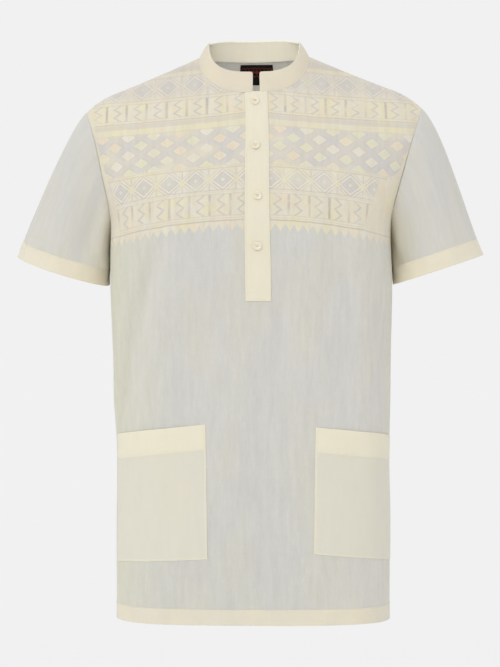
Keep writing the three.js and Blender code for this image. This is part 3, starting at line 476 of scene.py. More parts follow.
def with_edges(values, low_unit, high_unit):
    """Adds close values near either end, where a unit of the values is so many millimetres."""
    return in_order(values, np.min(values) + EDGE_STEPS / low_unit, np.max(values) - EDGE_STEPS / high_unit)


def across_band(width, count):
    """Shares of the way across a band, evenly spaced but closer to its edges."""
    return in_order(EDGE_STEPS / width, np.linspace(0, 1, count), 1 - EDGE_STEPS / width)


def rounded(distance, radius):
    """Share of its thickness that a finished edge has at a distance in from it."""
    return np.sqrt(np.maximum(1 - (1 - np.clip(distance / radius, 0, 1)) ** 2, 0.0))


def groove(distance, at, wide=0.7, deep=0.16):
    """Dip in the cloth along a line of stitches."""
    return -deep * np.exp(-(((distance - at) / wide) ** 2))


# ---------------------------------------------------------------- meshes
inner_faces = {}  # by object, how many faces its outer side has, and its inner side after them
sheets = {}  # by CAD node: its object, grid, finish, how it is held and the pieces it rests on
threads = []  # objects of sewing thread, each with the object that it is sewn to


def new_object(name, verts, faces, uv=None, slot=None, flat_angle=50):
    mesh = bpy.data.meshes.new(name)
    mesh.from_pydata((np.asarray(verts) / 1000).tolist(), [], [list(map(int, f)) for f in faces])
    if uv is not None:
        layer = mesh.uv_layers.new(name="weave")
        layer.data.foreach_set("uv", np.asarray(uv, np.float32).ravel())
    mesh.polygons.foreach_set("use_smooth", [True] * len(mesh.polygons))
    mesh.set_sharp_from_angle(angle=math.radians(flat_angle))
    mesh.update()
    obj = bpy.data.objects.new(name, mesh)
    bpy.context.scene.collection.objects.link(obj)
    return obj


def shell(name, grid, out, sink, slot, skip=None):
    """A closed sheet of cloth from `out` above a grid to `sink` below it, without the cells to skip."""
    count_r, count_c = grid.p.shape[:2]
    wide = count_c + 1 if grid.closed else count_c
    cells_r, cells_c = np.meshgrid(np.arange(count_r - 1), np.arange(wide - 1), indexing="ij")
    if skip is not None:
        cells_r, cells_c = cells_r[~skip], cells_c[~skip]
    first = (cells_r * wide + cells_c).ravel()
    quads = np.stack([first, first + 1, first + 1 + wide, first + wide], 1)
    ids = np.arange(count_r * wide)
    vertex = (ids // wide) * count_c + (ids % wide) % count_c
    points = np.concatenate([(grid.p + grid.n * np.asarray(out)[..., None]).reshape(-1, 3),
                             (grid.p - grid.n * np.asarray(sink)[..., None]).reshape(-1, 3)])
    outer = points[vertex[quads]]
    facing = np.cross(outer[:, 2] - outer[:, 0], outer[:, 3] - outer[:, 1])
    if np.sum(facing * grid.n.reshape(-1, 3)[vertex[quads[:, 0]]]) < 0:
        quads = quads[:, ::-1]
    total = count_r * count_c
    starts, ends = quads.ravel(), np.roll(quads, -1, 1).ravel()
    code = vertex[starts] * total + vertex[ends]
    back = vertex[ends] * total + vertex[starts]
    rim = ~np.isin(code, back)
    starts, ends = starts[rim], ends[rim]
    walls = np.stack([vertex[ends], vertex[starts], vertex[starts] + total, vertex[ends] + total], 1)
    faces = np.concatenate([vertex[quads], vertex[quads[:, ::-1]] + total, walls])
    corners = np.concatenate([quads, quads[:, ::-1], np.stack([ends, starts, starts, ends], 1)])
    used, faces = np.unique(faces, return_inverse=True)
    coordinates = np.stack([np.broadcast_to(c, (count_r, wide)).ravel() for c in (grid.u, grid.v)], 1) / 100
    obj = new_object(name, points[used], faces.reshape(-1, 4), coordinates[corners.ravel()], slot)
    inner_faces[obj.name] = len(quads)
    return obj


def add_cloth(node, name, grid, out, sink, finish, held, rests_on, slot="cream_cloth", skip=None):
    """Makes the cloth of a CAD node, and keeps it with its grid, finish, how it is held and the pieces it
    rests on.
    """
    sheets[node] = (shell(name, grid, out, sink, slot, skip), grid, finish, held, rests_on)


def raised(grid, out):
    """A grid's points moved out, with their normals beside them."""
    return np.concatenate([grid.p + grid.n * np.asarray(out)[..., None], grid.n], -1)


def grow(grid):
    """Distances across from the first column and up from the first row, along the surface."""
    across = np.cumsum(np.linalg.norm(np.diff(grid.p, axis=1), axis=2), 1)
    up = np.cumsum(np.linalg.norm(np.diff(grid.p, axis=0), axis=2), 0)
    rows, columns = grid.p.shape[:2]
    return np.concatenate([np.zeros((rows, 1)), across], 1), np.concatenate([np.zeros((1, columns)), up], 0)


def welded(a, b):
    """Gives two pieces the same normals along an edge that they share."""
    mean = unit(a + b)
    a[...], b[...] = mean, mean


# ---------------------------------------------------------------- stitches
def ball_chain(name, at, along, up, half=1.2, radius=0.27, sides=6):
    """One mesh of short round-ended threads, each at a point, along one direction and facing another."""
    along, up = unit(along), unit(up - along * np.sum(unit(along) * up, -1, keepdims=True))
    over = np.cross(up, along)
    angles = np.arange(sides) * 2 * math.pi / sides
    rings = ((-half, 0.35), (-half * 0.62, 0.95), (half * 0.62, 0.95), (half, 0.35))
    unit_verts = [(h, r * math.cos(a), r * math.sin(a), abs(h) > half * 0.8)
                  for h, r in rings for a in angles]
    faces = []
    for k in range(len(rings) - 1):
        for s in range(sides):
            t = (s + 1) % sides
            faces.append((k * sides + s, (k + 1) * sides + s, (k + 1) * sides + t, k * sides + t))
    faces.append(tuple(range(sides)))
    faces.append(tuple(reversed(range((len(rings) - 1) * sides, len(rings) * sides))))
    shape = np.array([v[:3] for v in unit_verts])
    sunk = np.array([0.42 * radius if v[3] else 0 for v in unit_verts])
    verts = (at[:, None] + along[:, None] * shape[None, :, :1] + over[:, None] * shape[None, :, 1:2] * radius
             + up[:, None] * (shape[None, :, 2:3] * radius * 0.8 - sunk[None, :, None]))
    count = len(unit_verts)
    all_faces = [tuple(i * count + v for v in face) for i in range(len(at)) for face in faces]
    return new_object(name, verts.reshape(-1, 3), all_faces, flat_angle=80)


def contour(p, distance, value, axis):
    """The line through a grid at which a distance, growing along an axis, has a value."""
    if axis == 0:
        p, distance = p.swapaxes(0, 1), distance.T
    distance = np.broadcast_to(distance, p.shape[:2])
    return np.array([[np.interp(value, d, q[:, k]) for k in range(q.shape[1])] for d, q in zip(distance, p)])


def pick(line, run, at):
    """Points and normals at distances along a line, whose own points stand at the distances in run."""
    return np.stack([np.interp(at, run, values) for values in line.T], 1)


def stitched(name, node, lines, pitch=3.1):
    """Sews a node's cloth along lines of points and normals."""
    places = []
    for line in lines:
        run = np.append(0, np.cumsum(np.linalg.norm(np.diff(line[:, :3], axis=0), axis=1)))
        count = max(int(run[-1] / pitch), 1)
        at = (np.arange(count) + 0.5) * run[-1] / count
        middle, before, after = pick(line, run, at), pick(line, run, at - 0.8), pick(line, run, at + 0.8)
        places.append(np.concatenate([middle, after[:, :3] - before[:, :3]], 1))
    centre, normal, along = np.split(np.concatenate(places), 3, axis=1)
    threads.append((ball_chain(name, centre + unit(normal) * 0.02, along, normal), sheets[node][0]))


def side_lines(top, across, inset):
    """Lines up a piece, so far in from its first column and its last."""
    wide = across[:, -1:]
    return contour(top, across, inset, 1), contour(top[:, ::-1], (wide - across)[:, ::-1], inset, 1)


# ---------------------------------------------------------------- body panels and their hems
body_rows = between_marks((HEM_ROW, 12), (POCKET_BASE_ROW, 30), (POCKET_HEM_ROW, 7), (POCKET_TOP_ROW, 34),
                          (PLACKET_ROW, 18), (LOW_ROWS, 56), (NECK_ROW, 0))
half_columns = np.arange(4 * HALF_COLUMNS + 1) / 4
body_columns = {
    "front": np.append(half_columns, SLIT_COLUMN + 1 + half_columns),
    "back": np.append(half_columns[:-1], HALF_COLUMNS + half_columns),
}
body = {side: Surface(side, body_rows, body_columns[side]) for side in COLUMNS}
hems = {side: Surface(side, across_band(HEM_BAND, 7), body_columns[side]) for side in COLUMNS}
for parts in (body, hems):
    for edge in (0, -1):
        welded(parts["front"].n[:, edge], parts["back"].n[:, edge])
shoulders = {side: np.abs(top_x(side, body_columns[side])[0]) >= NECK_HALF for side in COLUMNS}
tops = {side: body[side].n[-1][shoulders[side]] for side in COLUMNS}
welded(tops["front"], tops["back"])
for side in COLUMNS:
    body[side].n[-1][shoulders[side]] = tops[side]
    body[side].wide_rows = body_rows <= LOW_ROWS  # the rows above run round the neckline


def armhole_dip(surface):
    """The body's cloth dips slightly into the armhole seam."""
    rows, columns = surface.rows[:, None], surface.columns[None, :]
    from_edge = np.minimum(columns, COLUMNS[surface.side] - columns)
    return -0.28 * np.exp(-((from_edge / 0.35) ** 2)) * smooth(rows, LOW_ROWS - 0.5, LOW_ROWS + 1)


def add_panel(side):
    panel, skip = body[side], None
    if side == "front":
        in_slit = (panel.columns[:-1] >= SLIT_COLUMN) & (panel.columns[:-1] < SLIT_COLUMN + 1)
        skip = (panel.rows[:-1, None] >= PLACKET_ROW - 1e-6) & in_slit[None, :]
    dip = armhole_dip(panel)
    add_cloth(side, "cloth_" + side, panel, dip, CLOTH - dip,
              "body", "hung", ["on_wearer"], "woven_cloth", skip)


def add_band(node, name, grid, depth, fold, seam, pucker, finish, rests_on):
    """Makes a turned hem, rounded at its fold and puckered at its line of stitches, and gives that line."""
    full = rounded(np.abs(depth - fold), 0.65)
    rise = HEM_PROUD + groove(depth, seam) + pucker * np.exp(-(((depth - seam) / 3) ** 2))
    middle = HEM_PROUD - HEM_WALL / 2
    add_cloth(node, name, grid, middle + (rise - middle) * full, -middle + HEM_WALL / 2 * full, finish,
              "hung", rests_on)
    line = contour(raised(grid, HEM_PROUD - 0.16 + 0 * depth), depth, seam, 0)
    return np.concatenate([line, line[:1]]) if grid.closed else line


HEM_SEAM, CUFF_SEAM = 1.6, 1.7  # from a turned hem's inner edge to its line of stitches


def add_hem(side):
    hem = hems[side]
    depth = hem.rows[:, None] * HEM_BAND + 0 * hem.columns[None, :]
    pucker = 0.1 * np.sin(hem.u / 2.7 + 1.5 * np.sin(hem.u / 31))
    line = add_band(side + "_hem", "hem_" + side, hem, depth, 0, HEM_BAND - HEM_SEAM, pucker,
                    "hem", ["cloth_" + side])
    stitched("stitches_" + side + "_hem", side + "_hem", [line])


for side in COLUMNS:
    add_panel(side)
for side in COLUMNS:
    add_hem(side)


# ---------------------------------------------------------------- sleeves and their cuffs
ARM = ROWS["arm"]
CUFF_LEAN, CUFF_SWING, CUFF_DROP = 0.215, 0.165, -0.95  # the way out of a cuff: outwards, its change, down
HEAD_SWING, HEAD_PULL, CUFF_PULL = -0.22, 0.52, 0.76  # the pulls say how far either end keeps its direction
SLEEVE_POINTS = 140


def armhole(hand, index):
    """The seam of a sleeve, counted in the panels' rows from the underarm up the front and down the back."""
    index = np.mod(index, 2 * ARM)
    row = LOW_ROWS + np.where(index <= ARM, index, 2 * ARM - index)
    ends = {side: panel_point(side, row, [COLUMNS[side] if hand > 0 else 0])[:, 0] for side in COLUMNS}
    return np.where((index <= ARM)[:, None], ends["front"], ends["back"])


def cuff_direction(hand, turn):
    lean = hand * (CUFF_LEAN - CUFF_SWING * np.cos(turn))
    return unit(np.stack([lean, 0 * turn, CUFF_DROP + 0 * turn], -1))


def cuff_point(hand, turn):
    centre, across, through = (np.array(part, float) for part in CUFFS[hand])
    p = centre - across * np.cos(turn)[:, None] + through * np.sin(turn)[:, None]
    return p * np.array([hand, 1, 1])


def sleeve_fold(hand, index, t):
    """How far folds move the sleeve's cloth out, by place round it and share t of the way to the band."""
    turn = np.degrees(math.pi * index / ARM)
    total = np.zeros(np.broadcast_shapes(index.shape, t.shape))
    for at, start, end, wide, deep in SLEEVE_FOLDS + (SLEEVE_CREASES if hand > 0 else SLEEVE_CREASES[::2]):
        away = np.mod(turn - at + 180, 360) - 180
        ended = 0 if end >= 1 else smooth(t, end - 0.3, end)
        total = total + deep * smooth(t, start, start + 0.3) * (1 - ended) * np.exp(-((away / wide) ** 2))
    return total


def sleeve_points(hand, index, t):
    """The sleeve's surface; t is 0 at the armhole, 1 at the band's upper edge and 2 at its lower edge."""
    index, t = np.asarray(index, float), np.asarray(t, float)[:, None]
    turn = math.pi * index / ARM
    start, edge, leave = armhole(hand, index), cuff_point(hand, turn), cuff_direction(hand, turn)
    finish = edge - CUFF_BAND * leave
    rise = (1 - np.cos(turn)) / 2
    out, down = lookup(HEAD_OUT, rise), lookup(HEAD_DOWN, rise)
    head = unit(np.stack([hand * out, HEAD_SWING * np.sin(turn), -down], -1))
    long = np.linalg.norm(finish - start, axis=1, keepdims=True)
    p = hermite(start, finish, head * long * HEAD_PULL, leave * long * CUFF_PULL, np.minimum(t, 1)[..., None])
    low = np.maximum(t - 1, 0)
    p = p + low[..., None] * (edge - finish)
    lift = sleeve_fold(hand, index[None, :], np.minimum(t, 1)) * (1 - 0.2 * low)
    lift = lift + ripple(24 * index[None, :] + 200 * hand, 160 * t) * smooth(t, 0, 0.3)
    return settle(p + unit(p - p.mean(1, keepdims=True)) * lift[..., None])


class Sleeve(Grid):
    """The settled surface of a sleeve or its cuff, closed round."""

    closed = True

    def __init__(self, hand, t):
        index = np.arange(SLEEVE_POINTS) * 2 * ARM / SLEEVE_POINTS
        step = 0.02
        self.p = sleeve_points(hand, index, t)
        around = sleeve_points(hand, index + step, t) - sleeve_points(hand, index - step, t)
        below, above = np.minimum(t + step, 2), np.maximum(t - step, 0)
        n = unit(np.cross(around, sleeve_points(hand, index, below) - sleeve_points(hand, index, above)))
        self.n = n if np.sum(n * (self.p - self.p.mean(1, keepdims=True))) > 0 else -n
        ring = np.linalg.norm(np.diff(np.concatenate([self.p, self.p[:, :1]], 1), axis=1), axis=2)
        along = np.cumsum(np.linalg.norm(np.diff(self.p, axis=0), axis=2), 0)
        along = np.concatenate([np.zeros((1, SLEEVE_POINTS)), along])
        self.u = np.broadcast_to(np.append(0, np.cumsum(ring[len(t) // 2])), (len(t), SLEEVE_POINTS + 1))
        self.v = np.concatenate([along, along[:, :1]], 1) * -1


def add_sleeve(hand):
    """Makes a sleeve, and gives its girth as its weave counts it."""
    t = np.append([0, 0.004, 0.012, 0.025], np.linspace(0.04, 1, 58))
    sleeve = Sleeve(hand, t)
    dip = -0.4 * np.exp(-((t / 0.016) ** 2))[:, None] + 0 * sleeve.p[..., 0]
    node = "sleeve_" + HANDS[hand]
    add_cloth(node, "cloth_" + node, sleeve, dip, CLOTH - dip * 0.3,
              node, "hung", ["cloth_front", "cloth_back"], "sleeve_cloth")
    return float(sleeve.u[0, -1])


def add_cuff(hand):
    share = across_band(CUFF_BAND, 8)
    cuff = Sleeve(hand, 1 + share)
    depth = share[:, None] * CUFF_BAND + 0 * cuff.p[..., 0]
    turns = np.arange(cuff.p.shape[1]) * 5.3
    pucker = 0.12 * np.sin(turns * 1.9 + np.sin(turns / 5))
    word = HANDS[hand]
    line = add_band("sleeve_" + word + "_hem", "cuff_" + word, cuff, depth, CUFF_BAND, CUFF_SEAM, pucker,
                    "cuff", ["cloth_sleeve_" + word])
    stitched("stitches_cuff_" + word, "sleeve_" + word + "_hem", [line])


girths = {hand: add_sleeve(hand) for hand in HANDS}
for hand in HANDS:
    add_cuff(hand)


# ---------------------------------------------------------------- collar
COLLAR_HIGH, COLLAR_CORNER, COLLAR_SEAM, COLLAR_BASE_SEAM = 29, 3.2, 2, 1.6
COLLAR_BULGE, COLLAR_OUT, OVER_PLACKET = 0.9, 0.35, 1.35


def collar_base(turn):
    """Neckline point at a turn that runs from the right front end, round the back, to the left front end."""
    x = NECK_HALF * np.sin(turn)
    return np.where((np.cos(turn) >= 0)[:, None], neck_point("front", x), neck_point("back", x))


def collar_rise(p):
    """From a neckline point to the collar's top edge above it."""
    sine = np.clip(p[..., 0] / NECK_HALF, -1, 1)
    front = p[..., 1] < 0
    inward, y = (lerp(np.where(front, f, b), s, sine**2) for f, s, b in ((0, 12.5, 0), (9, -3, -4)))
    z = lerp(28.5, 20.4, np.where(front, sine**2, sine**4))
    return np.stack([-np.sign(p[..., 0]) * inward, y, z], -1)


first_turn, last_turn = (math.asin(end / NECK_HALF) for end in COLLAR_ENDS)
collar_turns = np.linspace(first_turn, last_turn - 2 * math.pi, 1500)
collar_run = np.append(0, np.cumsum(np.linalg.norm(np.diff(collar_base(collar_turns), axis=0), axis=1)))
COLLAR_LONG = collar_run[-1]


def collar_points(at, share):
    """The collar's surface at distances along the neckline and shares of the way up."""
    base = collar_base(np.interp(at, collar_run, collar_turns))
    up = np.clip(share, 0, 1)[:, None]
    bulge = COLLAR_BULGE * np.sin(math.pi * up)[..., None] * unit(base * np.array([1, 1, 0]))
    end = np.clip(np.minimum(at, COLLAR_LONG - at) / COLLAR_CORNER, 0, 1)
    corner = COLLAR_CORNER * (1 - np.sqrt(np.maximum(1 - (1 - end) ** 2, 0)))
    lowered = np.array([0, 0, 1.0]) * (corner[None, :] * up)[..., None]
    return settle(base + share[:, None, None] * collar_rise(base) + bulge - lowered)


def collar_normals(at, share):
    after, before = np.minimum(at + 0.3, COLLAR_LONG), np.maximum(at - 0.3, 0)
    across = collar_points(after, share) - collar_points(before, share)
    over, under = np.clip(share + 0.02, -0.05, 1), np.clip(share - 0.02, -0.05, 1)
    n = unit(np.cross(across, collar_points(at, over) - collar_points(at, under)))
    return n if np.sum(n * (collar_points(at, share) * np.array([1, 1, 0]))) > 0 else -n


def add_collar():
    at = np.round(with_edges(np.linspace(0, COLLAR_LONG, 150), 1, 1), 4)
    share = in_order([-0.05], np.linspace(0, 1, 14), 1 - EDGE_STEPS / COLLAR_HIGH)
    from_top = (1 - np.clip(share, 0, 1))[:, None] * COLLAR_HIGH + 0 * at
    from_end = np.minimum(at, COLLAR_LONG - at) + 0 * from_top
    full = rounded(np.minimum(from_top, from_end), 1.1)
    collar = Grid(collar_points(at, share), collar_normals(at, share), at + 0 * full,
                  share[:, None] * COLLAR_HIGH + 0 * full)
    # Near its ends the collar stands over the placket's top.
    over_placket = OVER_PLACKET * (2 - smooth(at, 6, 24) - smooth(COLLAR_LONG - at, 6, 20))
    rise = COLLAR_OUT + over_placket * (1 - 0.5 * share[:, None])
    rise = rise + groove(from_top, COLLAR_SEAM) * (from_end > COLLAR_SEAM)
    rise = rise + groove(from_end, COLLAR_SEAM) * (from_top > COLLAR_SEAM)
    middle = rise - COLLAR_WALL / 2
    add_cloth("collar", "cloth_collar", collar, middle + (rise - middle) * full,
              -middle + COLLAR_WALL / 2 * full, "collar", "folded", ["cloth_front", "cloth_back"])
    top = raised(collar, rise - 0.02)
    low = COLLAR_HIGH - COLLAR_BASE_SEAM
    edges = [contour(top[::-1], from_top[::-1], down, 0) for down in (COLLAR_SEAM, low)]
    inside = (at > COLLAR_SEAM) & (at < COLLAR_LONG - COLLAR_SEAM)
    tall = (from_top[2:, 0] > COLLAR_SEAM) & (from_top[2:, 0] < low)
    ends = side_lines(top, collar.u, COLLAR_SEAM)
    stitched("stitches_collar", "collar",
             [line[inside] for line in edges] + [line[2:][tall] for line in ends])


add_collar()


# ---------------------------------------------------------------- pockets
POCKET_SEAM, POCKET_HEM_SEAM = 1.5, 1.7  # from a pocket's edge, and above its turned top's, to the stitches
# How far a pocket's cloth lies off the body's and its mouth gapes, over which way, and its turned top's step.
BAG, BAG_EDGE, GAPE, GAPE_HIGH, TOP_STEP = 0.55, 14, 0.7, 70, 0.3


def add_pocket(hand):
    ends = sorted(column_from_slit(hand, n) for n in (POCKET_FIRST, POCKET_LAST))
    rows = np.concatenate([np.linspace(POCKET_BASE_ROW, POCKET_HEM_ROW, 42),
                           np.linspace(POCKET_HEM_ROW, POCKET_TOP_ROW, 12),
                           POCKET_HEM_ROW + np.array([0.012, 0.03, 0.05])])
    pocket = Surface("front", with_edges(rows, 29.7, POCKET_HEM), with_edges(np.linspace(*ends, 56), 15, 15))
    x, up = grow(pocket)
    wide, high = x[:, -1:], up[-1:]
    side = np.minimum(x, wide - x)
    edge = np.minimum(side, np.minimum(up, high - up))
    hem = high - POCKET_HEM
    # The pocket's cloth lies off the body's, most of all at its mouth, which gapes a little.
    bag = BAG * np.minimum(1, side / BAG_EDGE) ** 0.8 * np.minimum(1, up / BAG_EDGE) ** 0.8
    share = x / wide
    gape = GAPE * np.sin(math.pi * share) ** 0.8 * smooth(up, high - GAPE_HIGH, high)
    wave = 0.22 * np.sin(x / 13 + 1.3 * hand + up / 60) * np.minimum(1, side / 20)
    off = LAID + bag + gape + wave * np.minimum(1, up / 20)
    turned = smooth(up, hem - 0.4, hem + 1.0) * TOP_STEP
    lines = groove(side, POCKET_SEAM, 0.8, 0.22) + groove(up, POCKET_SEAM, 0.8, 0.22) * (side > POCKET_SEAM)
    lines = lines + groove(up, hem + 1.6, 0.8, 0.16)
    pucker = sum(0.13 * np.sin(along / 1.9) * np.exp(-(((away - 3) / 2.6) ** 2))
                 for along, away in ((up, side), (x, up)))
    top = off + (POCKET_WALL + turned + lines + pucker * (edge > 0.6))
    middle = off + POCKET_WALL / 2
    full = rounded(edge, 0.5)
    # Across from the inner edge, and up from the hem's line of stitches, the same at every pocket's base.
    pocket.u = wide - x if hand < 0 else x
    pocket.v = np.where(up > hem, up - hem, (up / hem - 1) * POCKET_LOW)
    node = "pocket_" + HANDS[hand]
    add_cloth(node, "cloth_" + node, pocket, middle + (top - middle) * full,
              -off - (middle - off) * (1 - full), "pocket", "laid", ["cloth_front"])
    surface = raised(pocket, top - 0.02)
    inside = (x[0] > POCKET_SEAM) & (x[0] < wide[0] - POCKET_SEAM)
    tall = (up[:, 0] > POCKET_SEAM) & (up[:, 0] < high[0, 0] - 0.8)
    across = [contour(surface, up, POCKET_SEAM, 0), contour(surface, up - hem, POCKET_HEM_SEAM, 0)]
    sides = side_lines(surface, x, POCKET_SEAM)
    stitched("stitches_" + node, node, [line[tall] for line in sides] + [line[inside] for line in across])


for hand in HANDS:
    add_pocket(hand)


# ---------------------------------------------------------------- placket and label
PLACKET_SEAM, BOX_END = 2.2, 12  # from its edge to the line of stitches, from its base to the box's top


def add_placket():
    rows = np.append(np.linspace(PLACKET_ROW, LOW_ROWS, 24)[:-1], np.linspace(LOW_ROWS, NECK_ROW - 0.02, 76))
    near = np.append(EDGE_STEPS[1:-1], 4)
    right, left = SLIT_COLUMN - 1, SLIT_COLUMN + 2
    columns = in_order(np.linspace(right, left, 16), right + near / 13.5, left - near / 17)
    placket = Surface("front", in_order(rows, rows[0] + EDGE_STEPS / 44), columns)
    x, up = grow(placket)
    side = np.minimum(x, x[:, -1:] - x)
    edge = np.minimum(side, up)
    full = rounded(edge, 0.6)
    lines = groove(side, PLACKET_SEAM, 0.8, 0.2) + groove(up, PLACKET_SEAM, 0.8, 0.2) * (side > 2)
    lines = lines + groove(up, BOX_END, 0.8, 0.14) * (side > 2)
    pucker = 0.1 * np.sin(up / 2.1) * np.exp(-(((side - 3.4) / 2.4) ** 2)) + 0.14 * np.sin(up / 19 + 1)
    top = LAID + PLACKET_WALL + lines + pucker * (edge > 0.7)
    middle = LAID + PLACKET_WALL / 2
    add_cloth("placket_upper", "cloth_placket_upper", placket, middle + (top - middle) * full,
              -middle + PLACKET_WALL / 2 * full, "placket", "laid", ["cloth_front"])
    surface = raised(placket, top - 0.02)
    inside = (x[0] > PLACKET_SEAM) & (x[0] < x[0, -1] - PLACKET_SEAM)
    tall = up[:, 0] > PLACKET_SEAM
    across = [contour(surface, up, height, 0) for height in (PLACKET_SEAM, BOX_END)]
    sides = side_lines(surface, x, PLACKET_SEAM)
    stitched("stitches_placket", "placket_upper",
             [line[tall] for line in sides] + [line[inside] for line in across])


def add_under_placket():
    rows = np.append(np.linspace(PLACKET_ROW, LOW_ROWS, 12)[:-1], np.linspace(LOW_ROWS, NECK_ROW - 0.3, 36))
    under = Surface("front", rows, np.linspace(SLIT_COLUMN - 1, SLIT_COLUMN + 2, 13))
    behind = CLOTH + 0.05 + 0 * under.u
    add_cloth("placket_under", "cloth_placket_under", under, -behind, behind + 1.1,
              "placket", "laid", ["cloth_front"])


def add_label():
    """The label lies on the back's inside, below the neck."""
    middle, half_wide, low, high = 4.2, 21.4, -32, -5
    neck = settle(panel_point("back", [NECK_ROW], np.arange(COLUMNS["back"] + 1)))[0, :, 0]
    spine = settle(panel_point("back", np.arange(LOW_ROWS, NECK_ROW + 1), [HALF_COLUMNS]))[:, 0, 2]
    columns = np.interp(np.linspace(middle - half_wide, middle + half_wide, 45), neck, np.arange(len(neck)))
    rows = LOW_ROWS + np.interp(np.linspace(low, high, 28), spine, np.arange(len(spine)))
    label = Surface("back", rows, columns)
    x, up = grow(label)
    label.u, label.v = x - x[:, -1:] / 2, up
    behind = CLOTH + 0.1 + 0 * x
    add_cloth("label", "neck_label", label, -behind, behind + 0.6,
              "label", "laid", ["cloth_back"], "label_weave")


add_placket()
add_under_placket()
add_label()


# ---------------------------------------------------------------- buttons
HOLE_OUT, HOLE_RADIUS, BUTTON_SEAT, BUTTON_FACE = 1.15, 0.6, LAID + PLACKET_WALL + 0.3, 1.75


def lathe(profile, sides):
    """A turned solid about z from a closed profile of (radius, height), its ends on the axis."""
    angles = np.arange(sides) * 2 * math.pi / sides
    verts, faces = [(0, 0, profile[0][1])], []
    for r, h in profile[1:-1]:
        verts += [(r * math.cos(a), r * math.sin(a), h) for a in angles]
    verts.append((0, 0, profile[-1][1]))
    rings = len(profile) - 2
    for s in range(sides):
        following = (s + 1) % sides
        faces.append((0, 1 + following, 1 + s))
        for k in range(rings - 1):
            a, b = 1 + k * sides, 1 + (k + 1) * sides
            faces.append((a + s, a + following, b + following, b + s))
        last = 1 + (rings - 1) * sides
        faces.append((last + s, last + following, len(verts) - 1))
    return verts, faces


def arc(cx, cy, radius, start, end, steps):
    angles = [math.radians(start + (end - start) * k / steps) for k in range(steps + 1)]
    return [(cx + radius * math.cos(a), cy + radius * math.sin(a)) for a in angles]


BUTTON_PROFILE = ([(0, 0.0)] + arc(4.9, 0.9, 0.9, -90, 0, 5) + arc(5.1, 1.7, 0.7, 0, 90, 6)
                  + arc(4.6, 1.8, 0.6, 90, 140, 3) + [(3.9, 1.78), (3.4, 1.66), (2.6, 1.6), (0, 1.6)])


def button_mesh():
    """A dished disc with four holes cut through it, for all the buttons to share."""
    disc = new_object("button_source", *lathe(BUTTON_PROFILE, 48))
    for k in range(4):
        a = math.pi / 4 + k * math.pi / 2
        cutter = new_object("cutter", *lathe([(0, -1), (HOLE_RADIUS, -1), (HOLE_RADIUS, 4), (0, 4)], 16))
        cutter.location = (HOLE_OUT * math.cos(a) / 1000, HOLE_OUT * math.sin(a) / 1000, 0)
        modifier = disc.modifiers.new("hole", "BOOLEAN")
        modifier.operation, modifier.solver, modifier.object = "DIFFERENCE", "EXACT", cutter
        bpy.context.view_layer.update()
        made = bpy.data.meshes.new_from_object(disc.evaluated_get(bpy.context.evaluated_depsgraph_get()))
        disc.modifiers.clear()
        disc.data = made
        bpy.data.objects.remove(cutter)
    mesh = disc.data
    mesh.polygons.foreach_set("use_smooth", [True] * len(mesh.polygons))
    mesh.set_sharp_from_angle(angle=math.radians(35))
    mesh.materials.clear()
    bpy.data.objects.remove(disc)
    return mesh


def button_frames():
    """Where each button's middle meets the body's cloth, and the normal there."""
    steps = ((0, 0), (1, 0), (-1, 0), (0, 1), (0, -1))
    for x, z in BUTTONS:
        middle = x - float(lookup(SHIFT, np.array(z)))
        at = [settle(body_at("front", middle + dx, z + dz)) for dx, dz in steps]
        n = unit(np.cross(at[1] - at[2], at[3] - at[4]))
        yield at[0], n if n[1] < 0 else -n


def add_button(word, mesh, at, n):
    """A button, the thread that crosses over its holes, and the worked buttonhole under it."""
    disc = bpy.data.objects.new("button_disc_" + word, mesh)
    bpy.context.scene.collection.objects.link(disc)
    disc.rotation_mode = "QUATERNION"
    disc.rotation_quaternion = Vector(n).to_track_quat("Z", "Y")
    disc.location = Vector((at + n * BUTTON_SEAT) / 1000)
    over = unit(np.cross(n, [0, 0, 1.0]))
    rise = np.cross(over, n)
    rise = rise if rise[2] > 0 else -rise
    face = at + n * (BUTTON_SEAT + BUTTON_FACE)
    reach = HOLE_OUT * math.sqrt(0.5)
    centres = np.array([face + rise * (k * reach + shift) for k in (-1, 1) for shift in (-0.16, 0.16)])
    crossing = ball_chain("thread_button_" + word, centres, np.tile(over, (4, 1)), np.tile(n, (4, 1)),
                          half=reach + 0.35, radius=0.2)
    threads.append((crossing, disc))
    above, heights = at + n * (LAID + PLACKET_WALL + 0.02), np.arange(-7, 7.01, 0.42)
    centres = np.array([above + rise * h + over * s * 0.62 for h in heights for s in (-1, 1)])
    count = (len(centres), 1)
    hole = ball_chain("buttonhole_" + word, centres, np.tile(over, count), np.tile(n, count),
                      half=0.55, radius=0.22, sides=5)
    threads.append((hole, sheets["placket_upper"][0]))
    return disc


button_data = button_mesh()
buttons = {}
for i, (at, n) in enumerate(button_frames(), 1):
    buttons["button_%d" % i] = add_button(str(i), button_data, at, n)


# ---------------------------------------------------------------- materials
LIGHT = 1.06  # how much brighter the studio light makes a surface that faces the camera than its own colour
THREAD_PITCH = 0.9  # of the weave's relief


def dye(red, green, blue):
    """The cloth's own colour, from the sRGB levels it shows in the studio light."""
    levels = np.array([red, green, blue]) / 255
    linear = np.where(levels <= 0.04045, levels / 12.92, ((levels + 0.055) / 1.055) ** 2.4)
    return tuple(float(c) for c in np.minimum(linear / LIGHT, 0.92)) + (1.0,)


def shaded(name, settings):
    """A material whose shader has constant settings, given by their names."""
    material = bpy.data.materials.new(name)
    material.use_nodes = True
    shader = material.node_tree.nodes["Principled BSDF"]
    for setting, value in settings.items():
        shader.inputs[setting].default_value = value
    return material, material.node_tree, shader


